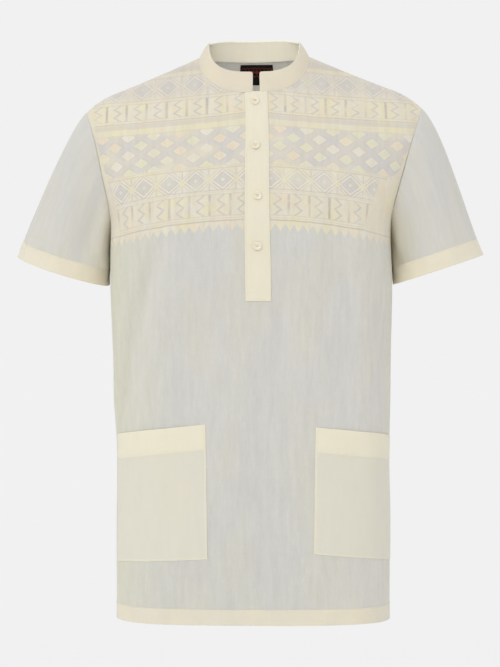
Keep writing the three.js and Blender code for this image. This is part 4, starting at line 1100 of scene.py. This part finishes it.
class Value:
    """A number in a shader's node tree. Arithmetic on it adds the nodes that work it out."""

    def __init__(self, tree, socket):
        self.tree, self.socket = tree, socket

    def math(self, operation, *others, clamp=False):
        node = self.tree.nodes.new("ShaderNodeMath")
        node.operation, node.use_clamp = operation, clamp
        for socket, other in zip(node.inputs, (self, *others)):
            if isinstance(other, Value):
                self.tree.links.new(other.socket, socket)
            else:
                socket.default_value = float(other)
        return Value(self.tree, node.outputs[0])

    def __add__(self, other):
        return self.math("ADD", other)

    def __sub__(self, other):
        return self.math("SUBTRACT", other)

    def __mul__(self, other):
        return self.math("MULTIPLY", other)

    def __truediv__(self, other):
        return self.math("DIVIDE", other)

    def __neg__(self):
        return self * -1

    def __abs__(self):
        return self.math("ABSOLUTE")

    def least(self, other):
        return self.math("MINIMUM", other)

    def most(self, other):
        return self.math("MAXIMUM", other)

    def above(self, other):
        return self.math("GREATER_THAN", other)

    def nearest(self, first, period):
        """Signed distance to the nearest of marks that stand a period apart."""
        return (self + (period / 2 - first)).math("FLOORED_MODULO", period) - period / 2

    def inside(self, soft=0.5):
        """1 where this distance is below 0, 0 where it is above, soft at the line."""
        return (self * (-0.5 / soft)).math("ADD", 0.5, clamp=True)

    def rising(self, low, high):
        """From 0 at low to 1 at high, which may be the smaller of the two."""
        return ((self - low) / (high - low)).math("ADD", 0, clamp=True)


class Cloth:
    """A cloth's material: its weave coordinates in millimetres, noises, and a colour built up in layers."""

    def __init__(self, name, colour, roughness=0.88, sheen=0.12):
        # Light shows through thin cotton.
        self.material, self.tree, self.shader = shaded(name, {
            "Roughness": roughness, "Specular IOR Level": 0.22,
            "Sheen Weight": sheen, "Sheen Roughness": 0.55,
            "Subsurface Weight": 0.3, "Subsurface Radius": (1, 0.88, 0.6), "Subsurface Scale": 0.003,
        })
        uv = self.tree.nodes.new("ShaderNodeUVMap")
        uv.uv_map = "weave"
        split = self.tree.nodes.new("ShaderNodeSeparateXYZ")
        self.tree.links.new(uv.outputs[0], split.inputs[0])
        self.u, self.v = (Value(self.tree, split.outputs[k]) * 100 for k in (0, 1))
        ground = self.tree.nodes.new("ShaderNodeRGB")
        ground.outputs[0].default_value = colour
        self.colour = ground.outputs[0]

    def noise(self, across, up, detail=2.0, seed=0.0, at=None):
        """Noise from 0 to 1 whose grain is so many millimetres across and up the cloth."""
        u, v = at or (self.u, self.v)
        join = self.tree.nodes.new("ShaderNodeCombineXYZ")
        for k, value in enumerate((u / across, v / up)):
            self.tree.links.new(value.socket, join.inputs[k])
        join.inputs[2].default_value = seed
        node = self.tree.nodes.new("ShaderNodeTexNoise")
        node.inputs["Scale"].default_value = 1
        node.inputs["Detail"].default_value = detail
        self.tree.links.new(join.outputs[0], node.inputs["Vector"])
        return Value(self.tree, node.outputs[0])

    def cover(self, colour, share):
        """Lays a colour over the cloth's by a share."""
        node = self.tree.nodes.new("ShaderNodeMix")
        node.data_type = "RGBA"
        under, over = (socket for socket in node.inputs if socket.type == "RGBA")
        self.tree.links.new(share.socket, node.inputs[0])
        self.tree.links.new(self.colour, under)
        over.default_value = colour
        self.colour = next(socket for socket in node.outputs if socket.type == "RGBA")

    def grain(self, depth=1.0, long=20):
        """The yarn's uneven thickness: upright streaks with fewer across, as small changes of brightness."""
        streaks = self.noise(1.6, long, 2, 3.1) * 0.4 + self.noise(7, 50, 1, 7.7) * 0.45
        streaks = streaks + self.noise(22, 1.3, 1, 5.2) * 0.15
        node = self.tree.nodes.new("ShaderNodeHueSaturation")
        level = (streaks - 0.5) * (0.2 * depth) + 1
        self.tree.links.new(level.socket, node.inputs["Value"])
        self.tree.links.new(self.colour, node.inputs["Color"])
        self.colour = node.outputs[0]
        return streaks

    def finish(self, streaks=None, weave=0.25):
        """Gives the shader its colour and the relief of the weave and its streaks."""
        self.tree.links.new(self.colour, self.shader.inputs["Base Color"])
        up, over = ((way * (2 * math.pi / THREAD_PITCH)).math("SINE") for way in (self.u, self.v))
        height = up * over * 0.3
        if streaks is not None:
            height = height + streaks * 1.5
        bump = self.tree.nodes.new("ShaderNodeBump")
        bump.inputs["Strength"].default_value = weave
        bump.inputs["Distance"].default_value = 0.00015
        self.tree.links.new(height.socket, bump.inputs["Height"])
        self.tree.links.new(bump.outputs[0], self.shader.inputs["Normal"])
        return self.material


GREY, GREY_WARM, GREY_COOL = dye(207, 205, 198), dye(212, 209, 187), dye(203, 203, 200)
CREAM, YELLOW, PEACH, GREEN = dye(222, 214, 195), dye(225, 217, 186), dye(227, 210, 187), dye(218, 217, 190)
PALE, LILAC, DARK, NET = dye(223, 218, 205), dye(200, 192, 187), dye(193, 184, 170), dye(208, 203, 196)
DUSK, WHITE = dye(187, 177, 170), dye(228, 223, 211)
BLACK, RED = (0.009, 0.008, 0.008, 1), (0.34, 0.046, 0.03, 1)


def shade_by_body(cloth):
    """The body's ground: grey, cooler in broad patches and darker towards the hem, with painted warm light to
    the sides, painted light to the wearer's left and painted shade and highlight along a fold.
    """
    patch = cloth.noise(70, 160, 1, 1.3)
    cloth.cover(GREY_COOL, patch.rising(0.4, 0.6) * 0.35)
    cloth.cover(dye(197, 197, 193), cloth.v.rising(-230, -520) * 0.75)
    slubs = cloth.noise(1.5, 13, 1, 33.0).rising(0.62, 0.72) * cloth.noise(50, 80, 1, 41.0).rising(0.35, 0.6)
    cloth.cover(PALE, slubs * 0.45)
    left, right = cloth.u.rising(-105, -215), cloth.u.rising(185, 225)
    # Painted light: the body's cloth is painted paler towards the wearer's left side.
    cloth.cover(dye(212, 209, 202), cloth.u.rising(80, 180) * 0.6)
    # Painted warm light towards the sides of the body, mixed with warm patches of the cloth's own tone.
    cloth.cover(GREY_WARM, (left * 0.75).most(right * 0.5).most(patch.rising(0.5, 0.35) * 0.2))
    # Painted shade and a painted highlight along a long soft fold that hangs aslant below the right arm.
    fold = cloth.u + 143 - (cloth.v + 45) * 0.248
    reach = cloth.v.rising(-8, -50) * cloth.v.rising(-330, -230)
    cloth.cover(dye(197, 195, 180), fold.rising(-30, -4) * fold.rising(8, -4) * reach * 0.4)
    cloth.cover(dye(216, 213, 206), fold.rising(2, 14) * fold.rising(46, 20) * reach * 0.3)


class Yoke:
    """The bands of woven pattern over chest and shoulders, by height w above their lowest line."""

    TEETH_WIDE, TEETH_DEEP, TOOTH_SLOPE = 12.8, 13.65, 0.66
    # The middle of the lower boxes and the upper ones' shift, the first bar from it, and from bar to bar.
    BOX_MIDDLE, BOX_SHIFT, BOX_FIRST, BOX_WIDE = 8, -4.3, 39.5, 27.8
    BOXES_LOW, BOXES_HIGH = (7.4, 29.1), (152.5, 23.5)  # base and height of the lower and upper boxes
    DIAMOND_MIDDLE, DIAMOND_SHIFT, DIAMOND_FIRST, DIAMOND_WIDE = 8.8, -2.8, 50.7, 36.5
    DIAMONDS_LOW, DIAMONDS_UP = 57.4, 139.6  # middle height of the lower diamonds, and from them to the upper
    NET, NET_MIDDLE, NET_FIRST, LOZENGE_WIDE, LOZENGE_HIGH = (78, 131.5), 4, (31.7, 104), 36.1, 25
    # Dark lines that part the bands: height, half thickness, strength.
    LINES = (
        (0, 0.75, 0.9), (3.5, 0.4, 0.4), (6.9, 0.5, 0.5), (36.9, 0.5, 0.5), (40, 0.4, 0.35), (42.6, 0.6, 0.6),
        (73.8, 0.6, 0.6), (76.6, 0.4, 0.3), (132.2, 0.5, 0.35), (148.5, 0.7, 0.7), (152.2, 0.4, 0.4),
        (176.3, 0.5, 0.5), (180.8, 0.5, 0.5), (212.4, 0.5, 0.5), (219.8, 0.5, 0.4), (226.6, 0.5, 0.4),
    )

    def __init__(self, cloth):
        self.cloth = cloth
        self.u = cloth.u + (cloth.noise(7, 7, 1, 9.1) - 0.5) * 1.5
        self.w = cloth.v + (cloth.noise(7, 7, 1, 4.4) - 0.5) * 1.5
        # The pattern stops before the armhole, nearer the centre on the wearer's left.
        right = -self.u - 197 - self.w * 0.15
        left = self.u - 152 - (self.w * 0.36).least(58) - self.w.rising(66, 84) * 22
        self.patterned = right.most(left).inside(2)
        self.patch = cloth.noise(34, 22, 1.5, 0.4)
        self.worn = cloth.noise(20, 12, 2, 8.5).rising(0.3, 0.5) * 0.6 + 0.4

    def band(self, low, high, soft=0.6):
        return (abs(self.w - (low + high) / 2) - (high - low) / 2).inside(soft)

    def ground(self):
        """Cream in patches of colour, with teeth that hang from a strip under the lowest line."""
        cloth, w = self.cloth, self.w
        sway = cloth.noise(26, 200, 1, 7.1) * 6
        tooth = abs((self.u + sway).nearest(0, self.TEETH_WIDE))
        tooth = tooth - (w + self.TEETH_DEEP + sway * 0.25) * self.TOOTH_SLOPE
        teeth = (tooth.inside(0.7) * self.band(-15, -3.5) + self.band(-4, 0.3)).least(1)
        slit = abs(abs(self.u - self.BOX_MIDDLE).nearest(self.BOX_FIRST, self.BOX_WIDE)) - 0.6
        slit = slit.inside(0.5) * self.band(-13, -2)
        ragged = cloth.noise(5, 40, 1, 2.6).rising(0.3, 0.42)
        above = (-w).inside(0.4)
        cloth.cover(CREAM, teeth * (ragged * 0.35 + 0.65))
        cloth.cover(CREAM, above)
        cloth.cover(LILAC, slit * 0.6)
        coloured = above.most(teeth)
        cloth.cover(YELLOW, coloured * self.patch.rising(0.48, 0.66) * 0.75)
        tint = cloth.noise(24, 16, 1, 6.3)
        cloth.cover(PEACH, coloured * tint.rising(0.56, 0.7) * 0.55)
        cloth.cover(PALE, coloured * tint.rising(0.44, 0.3) * 0.7)
        cloth.cover(dye(205, 197, 186), (w - cloth.noise(30, 20, 1, 3.3) * 14).rising(168, 184) * 0.75)

    def strips(self):
        """Plain strips between the bands."""
        cloth, patterned = self.cloth, self.patterned
        yellow = self.band(132, 139.5) + self.band(212.5, 219) + self.band(231, 236)
        cloth.cover(YELLOW, patterned * yellow * self.patch.rising(0.25, 0.6) * 0.65)
        cloth.cover(LILAC, patterned * (self.band(140.5, 147) + self.band(220.5, 226)) * 0.45)
        cloth.cover(PALE, patterned * (self.band(3.8, 6.2) + self.band(37.5, 42.5)) * 0.4)

    def boxes(self):
        """Boxes with a zigzag between bars, low on the chest and again over it."""
        cloth, upper = self.cloth, self.w.above(100)
        low, high = ((self.w - base) / tall for base, tall in (self.BOXES_LOW, self.BOXES_HIGH))
        height = low * (-upper + 1) + high * upper
        shown = self.patterned * (abs(height - 0.5) - 0.5).inside(0.02)
        across = abs(self.u - (upper * self.BOX_SHIFT + self.BOX_MIDDLE))
        bar = (abs(across.nearest(self.BOX_FIRST, self.BOX_WIDE)) - 1.7).inside(0.6)
        from_bar = (across - self.BOX_FIRST).math("FLOORED_MODULO", self.BOX_WIDE)
        past_fold = from_bar - (abs((height * 2).math("FLOORED_MODULO", 1) * 2 - 1) * -9.5 + 17.5)
        zigzag = (abs(past_fold) * 0.6 - 1.15).inside(0.6)
        cloth.cover(YELLOW, shown * past_fold.inside(1.5) * self.patch.rising(0.35, 0.6) * 0.45)
        cloth.cover(PALE, shown * (abs(past_fold - 2.6) - 1.1).inside(0.6) * 0.6)
        cloth.cover(LILAC, shown * zigzag * self.worn * 0.8)
        cloth.cover(DUSK, shown * bar * self.worn * cloth.noise(40, 30, 1, 18.0).rising(0.25, 0.65) * 0.9)

    def diamonds(self):
        """Diamonds in rings between dividers with a star, and the same again over the shoulders."""
        cloth, top = self.cloth, self.w.above(160)
        up = abs(self.w - self.DIAMONDS_LOW - top * self.DIAMONDS_UP)
        over = abs(self.u - self.DIAMOND_MIDDLE - top * self.DIAMOND_SHIFT)
        over = abs(over.nearest(self.DIAMOND_FIRST, self.DIAMOND_WIDE))
        ring, from_divider = over / 17.5 + up / 15, abs(over - self.DIAMOND_WIDE / 2)
        outline = abs(ring - 1.0).rising(0.1, 0.05)
        corner = abs(ring - 1.34).rising(0.07, 0.03)
        bright = abs(ring - 0.84).rising(0.085, 0.03).most(abs(ring - 0.46).rising(0.07, 0.02) * 0.4)
        bright = bright.most(ring.rising(0.24, 0.16))
        divide = (from_divider - 0.8).inside(0.5)
        star = (from_divider / 6.5 + up / 6).rising(1, 0.8)
        shown = self.patterned * (up - 15.2).inside(0.4)
        faded = cloth.noise(45, 40, 1, 21.0).rising(0.28, 0.52) * 0.7 + 0.3
        cloth.cover(PALE, shown * 0.35)
        cloth.cover(dye(200, 196, 190), shown * ring.rising(0.8, 0.72) * faded * 0.8)
        cloth.cover(WHITE, shown * bright * self.worn * faded * (top * -0.45 + 0.8))
        dull = (outline * 0.85).most(corner * 0.7).most(divide * 0.75)
        cloth.cover(LILAC, shown * dull * self.worn * faded)
        cloth.cover(YELLOW, shown * star * (top * -0.5 + 0.8))

    def net(self):
        """A net of lozenges in rows that stand between each other, each dyed by a noise at its own centre."""
        cloth, wide, high, w = self.cloth, self.LOZENGE_WIDE, self.LOZENGE_HIGH, self.w
        out = abs(self.u - self.NET_MIDDLE)
        x, other_x = (out.nearest(self.NET_FIRST[0] + k * wide / 2, wide) for k in (0, 1))
        y, other_y = (w.nearest(self.NET_FIRST[1] + k * high / 2, high) for k in (0, 1))
        one, other = abs(x) / wide + abs(y) / high, abs(other_x) / wide + abs(other_y) / high
        near, first = one.least(other), (one - other).inside(0.01)
        second = -first + 1
        far = out + (self.u - self.NET_MIDDLE).above(0) * 300
        centre = ((far - x) * first + (far - other_x) * second, (w - y) * first + (w - other_y) * second)
        dyed = cloth.noise(11, 11, 0, 15.0, centre)
        netted = self.patterned * self.band(*self.NET, 1.5)
        fade = cloth.noise(60, 30, 1, 12.0).rising(0.3, 0.48)
        lozenge = near.rising(0.31, 0.25) * netted
        cloth.cover(PALE, lozenge * dyed.rising(0.46, 0.44) * 0.6)
        cloth.cover(GREEN, lozenge * (abs(dyed - 0.5) - 0.06).inside(0.01) * 0.65)
        cloth.cover(PEACH, lozenge * dyed.rising(0.58, 0.6) * 0.6)
        between = netted * near.rising(0.27, 0.34)
        cloth.cover(NET, between * (fade * 0.6 + 0.25))
        cloth.cover(dye(201, 199, 200), between * self.patch.rising(0.5, 0.35) * 0.5)
        # Painted shade and a painted highlight of the lozenges' raised weave: a dark rim round each lozenge
        # and a pale rim inside it.
        cloth.cover(DUSK, netted * abs(near - 0.31).rising(0.05, 0.015) * self.worn * (fade * 0.2 + 0.1))
        cloth.cover(WHITE, netted * abs(near - 0.22).rising(0.05, 0.01) * self.worn * fade * 0.35)

    def lines(self):
        (first, *others) = [(abs(self.w - at) - half).inside(0.5) * strong for at, half, strong in self.LINES]
        for line in others:
            first = first.most(line)
        plain = (self.patterned + self.band(-1, 1) * 0.8).least(1)
        self.cloth.cover(DARK, first * plain * (self.worn * 0.5 + 0.5))

    def weave(self):
        for layer in (self.ground, self.strips, self.boxes, self.diamonds, self.net, self.lines):
            layer()


def body_cloth():
    cloth = Cloth("handloom_body", GREY)
    shade_by_body(cloth)
    Yoke(cloth).weave()
    return cloth.finish(cloth.grain(1.5, 12))


def reverse_cloth():
    """The wrong side of the body's cloth, paler, as light comes through the thin cotton."""
    cloth = Cloth("handloom_reverse", dye(246, 244, 238))
    cloth.cover(dye(242, 240, 236), cloth.noise(60, 120, 1, 8.8).rising(0.4, 0.6))
    return cloth.finish(cloth.grain(1.2))


def sleeve_cloth(hand, under, deep):
    """The sleeve's grey cloth. Its colour changes to `under` on the inner side and `deep` by the seam,
    painted light and shade in the valley by the body.
    """
    cloth = Cloth("handloom_sleeve_" + HANDS[hand], GREY)
    patch = cloth.noise(60, 90, 1, 2.2)
    cloth.cover(GREY_WARM, patch.rising(0.45, 0.65) * 0.25)
    cloth.cover(GREY_COOL, patch.rising(0.45, 0.3) * 0.35)
    inner = abs(cloth.u.nearest(0, girths[hand]))
    # Painted light and shade by the body: `under` on the sleeve's inner side, and the painted warm light
    # `deep` by its seam.
    cloth.cover(under, inner.rising(85, 35) * 0.8)
    cloth.cover(deep, inner.rising(42, 8) * 0.9)
    return cloth.finish(cloth.grain(0.9))


def cream_cloth(name, colour, warm=0.3, hem=None, grain=0.4):
    """Cream cotton. A pocket's turned hem, above its line of stitches, and its turned edges are paler."""
    cloth = Cloth(name, colour)
    patch = cloth.noise(50, 60, 1, 5.5)
    cloth.cover(dye(232, 222, 195), patch.rising(0.5, 0.65) * warm)
    cloth.cover(dye(225, 219, 205), patch.rising(0.45, 0.3) * warm)
    if hem:
        turned = cloth.u.rising(3.4, 2.6).most(cloth.v.rising(3.4 - POCKET_LOW, 2.6 - POCKET_LOW))
        cloth.cover(hem, cloth.v.rising(-0.3, 0.3).most(turned * 0.8) * 0.9)
    return cloth.finish(cloth.grain(grain))


def label_cloth():
    """Black ribbon with a dull red woven ornament of diamonds and zigzags, and no lettering."""
    cloth = Cloth("label_ribbon", BLACK, 0.8, 0.05)
    x, up = abs(cloth.u.nearest(0, 5.4)), abs(cloth.v - 20)
    ring = x / 2.7 + up / 3.4
    diamond = abs(ring - 0.75).rising(0.26, 0.14).most(ring.rising(0.38, 0.28)) * (up - 3.6).inside(0.2)
    zig = (abs(x - (cloth.v - 25.2)) - 0.42).inside(0.2) * (abs(cloth.v - 26.2) - 1.5).inside(0.2)
    zag = (abs(x - (-cloth.v + 15)) - 0.42).inside(0.2) * (abs(cloth.v - 13.7) - 1.4).inside(0.2)
    cloth.cover(RED, diamond.most(zig).most(zag))
    return cloth.finish(None, 0.5)


def speckled(name, scale, low, high, settings):
    """Two colours in speckles, for meshes without weave coordinates, each with its stop on a ramp."""
    material, tree, shader = shaded(name, settings)
    place = tree.nodes.new("ShaderNodeTexCoord")
    noise = tree.nodes.new("ShaderNodeTexNoise")
    noise.inputs["Scale"].default_value = scale
    ramp = tree.nodes.new("ShaderNodeValToRGB")
    for element, (stop, colour) in zip(ramp.color_ramp.elements, (low, high)):
        element.position, element.color = stop, colour
    tree.links.new(place.outputs["Object"], noise.inputs["Vector"])
    tree.links.new(noise.outputs[0], ramp.inputs["Fac"])
    tree.links.new(ramp.outputs[0], shader.inputs["Base Color"])
    return material


finishes = {
    "body": body_cloth(),
    # Painted light on the sleeves' inner sides: the right sleeve is painted paler there and the left darker,
    # painted shade, with painted warm light by both seams.
    "sleeve_right": sleeve_cloth(-1, dye(230, 226, 213), dye(247, 241, 224)),
    "sleeve_left": sleeve_cloth(1, dye(198, 193, 174), dye(232, 222, 196)),
    "hem": cream_cloth("cream_hem", dye(219, 213, 197)),
    "cuff": cream_cloth("cream_cuff", dye(225, 218, 200)),
    "collar": cream_cloth("cream_collar", dye(221, 212, 193), grain=0.3),
    "pocket": cream_cloth("cream_pocket", dye(222, 217, 201), 0.1, dye(233, 226, 203)),
    "placket": cream_cloth("cream_placket", dye(231, 224, 203)),
    "label": label_cloth(),
}
pearl = speckled("button_pearl", 320, (0.35, dye(228, 217, 192)), (0.65, dye(236, 228, 209)), {
    "Roughness": 0.32, "Coat Weight": 0.25,
    "Subsurface Weight": 0.6, "Subsurface Radius": (1, 0.9, 0.75), "Subsurface Scale": 0.0016,
})
sewing_thread = speckled("sewing_thread", 60, (0, dye(228, 220, 198)), (1, dye(236, 229, 210)),
                         {"Roughness": 0.6, "Sheen Weight": 0.1})
for obj, _, finish, _, _ in sheets.values():
    obj.data.materials.append(finishes[finish])
button_data.materials.append(pearl)
for obj, _ in threads:
    obj.data.materials.append(sewing_thread)


def face_inside(node, material):
    """Gives the inner side of a node's cloth a material of its own."""
    mesh = sheets[node][0].data
    mesh.materials.append(material)
    count = inner_faces[sheets[node][0].name]
    index = np.zeros(len(mesh.polygons), np.int32)
    index[count:2 * count] = 1
    mesh.polygons.foreach_set("material_index", index)


reverse = reverse_cloth()
for side in COLUMNS:
    face_inside(side, reverse)
# The collar's inner side is painted much paler than its cloth: painted light on its shaded inside.
face_inside("collar", cream_cloth("collar_inside_painted_light", dye(249, 243, 226), 0.1, grain=0.4))


# ---------------------------------------------------------------- what each piece stands for, and its cut
def cut_of(grid):
    """Flat width, length and area of a piece, in metres."""
    p = np.concatenate([grid.p, grid.p[:, :1]], 1) if grid.closed else grid.p
    across = np.linalg.norm(np.diff(p, axis=1), axis=2).sum(1)[grid.wide_rows]
    up = np.linalg.norm(np.diff(p, axis=0), axis=2).sum(0)
    diagonals = np.cross(p[1:, 1:] - p[:-1, :-1], p[1:, :-1] - p[:-1, 1:])
    wide, long = across.max() / 1000, up.max() / 1000
    return wide, long, min(np.linalg.norm(diagonals, axis=2).sum() / 2e6, wide * long)


stands_for = {node: entry[0] for node, entry in sheets.items()} | buttons
for node, obj in stands_for.items():
    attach(obj, "root")
    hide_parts(node)
for obj, _ in threads:
    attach(obj, "root")
for obj, grid, _, held, rests_on in sheets.values():
    wide, long, area = cut_of(grid)
    sewn = [thread for thread, on in threads if on == obj]

# ---------------------------------------------------------------- studio
BACKDROP, FLOOR, FLOOR_Z, FLOOR_HALF = 0.879, 0.886, -1.35, 99
CAMERA_AT = (-0.0049, -3.2, -0.3864)
HALF_VIEW = 0.4669  # half the height that the picture shows at the origin
scene = bpy.context.scene
scene.view_settings.view_transform = "Standard"
scene.world = bpy.data.worlds.new("studio")
scene.world.use_nodes = True
scene.world.node_tree.nodes["Background"].inputs["Color"].default_value = (BACKDROP, BACKDROP, BACKDROP, 1)


def placed(name, data):
    obj = bpy.data.objects.new(name, data)
    scene.collection.objects.link(obj)
    return obj


def sun(name, elevation, azimuth, power, spread):
    """A broad soft light from so many degrees above the horizon and round from the front."""
    light = bpy.data.lights.new(name, "SUN")
    light.energy, light.angle = power, math.radians(spread)
    obj = placed(name, light)
    obj.rotation_euler = (math.radians(90 - elevation), 0, math.radians(azimuth))
    return obj


def pale_floor():
    corners = [(x * FLOOR_HALF, y * FLOOR_HALF, 0) for x, y in ((-1, -1), (1, -1), (1, 1), (-1, 1))]
    mesh = bpy.data.meshes.new("floor")
    mesh.from_pydata(corners, [], [(0, 1, 2, 3)])
    settings = {"Base Color": (FLOOR, FLOOR, FLOOR, 1), "Roughness": 1, "Specular IOR Level": 0}
    mesh.materials.append(shaded("pale_floor", settings)[0])
    floor = placed("floor", mesh)
    floor.location = (0, 0, FLOOR_Z)
    return floor


sun("key_light", 30, -33, 0.61, 50)
sun("fill_light", 4, 0, 0.47, 40)
pale_floor()
lens = bpy.data.cameras.new("camera")
lens.angle = 2 * math.atan(HALF_VIEW / -CAMERA_AT[1])
scene.camera = placed("camera", lens)
scene.camera.location = CAMERA_AT
scene.camera.rotation_euler = (math.radians(90), 0, 0)
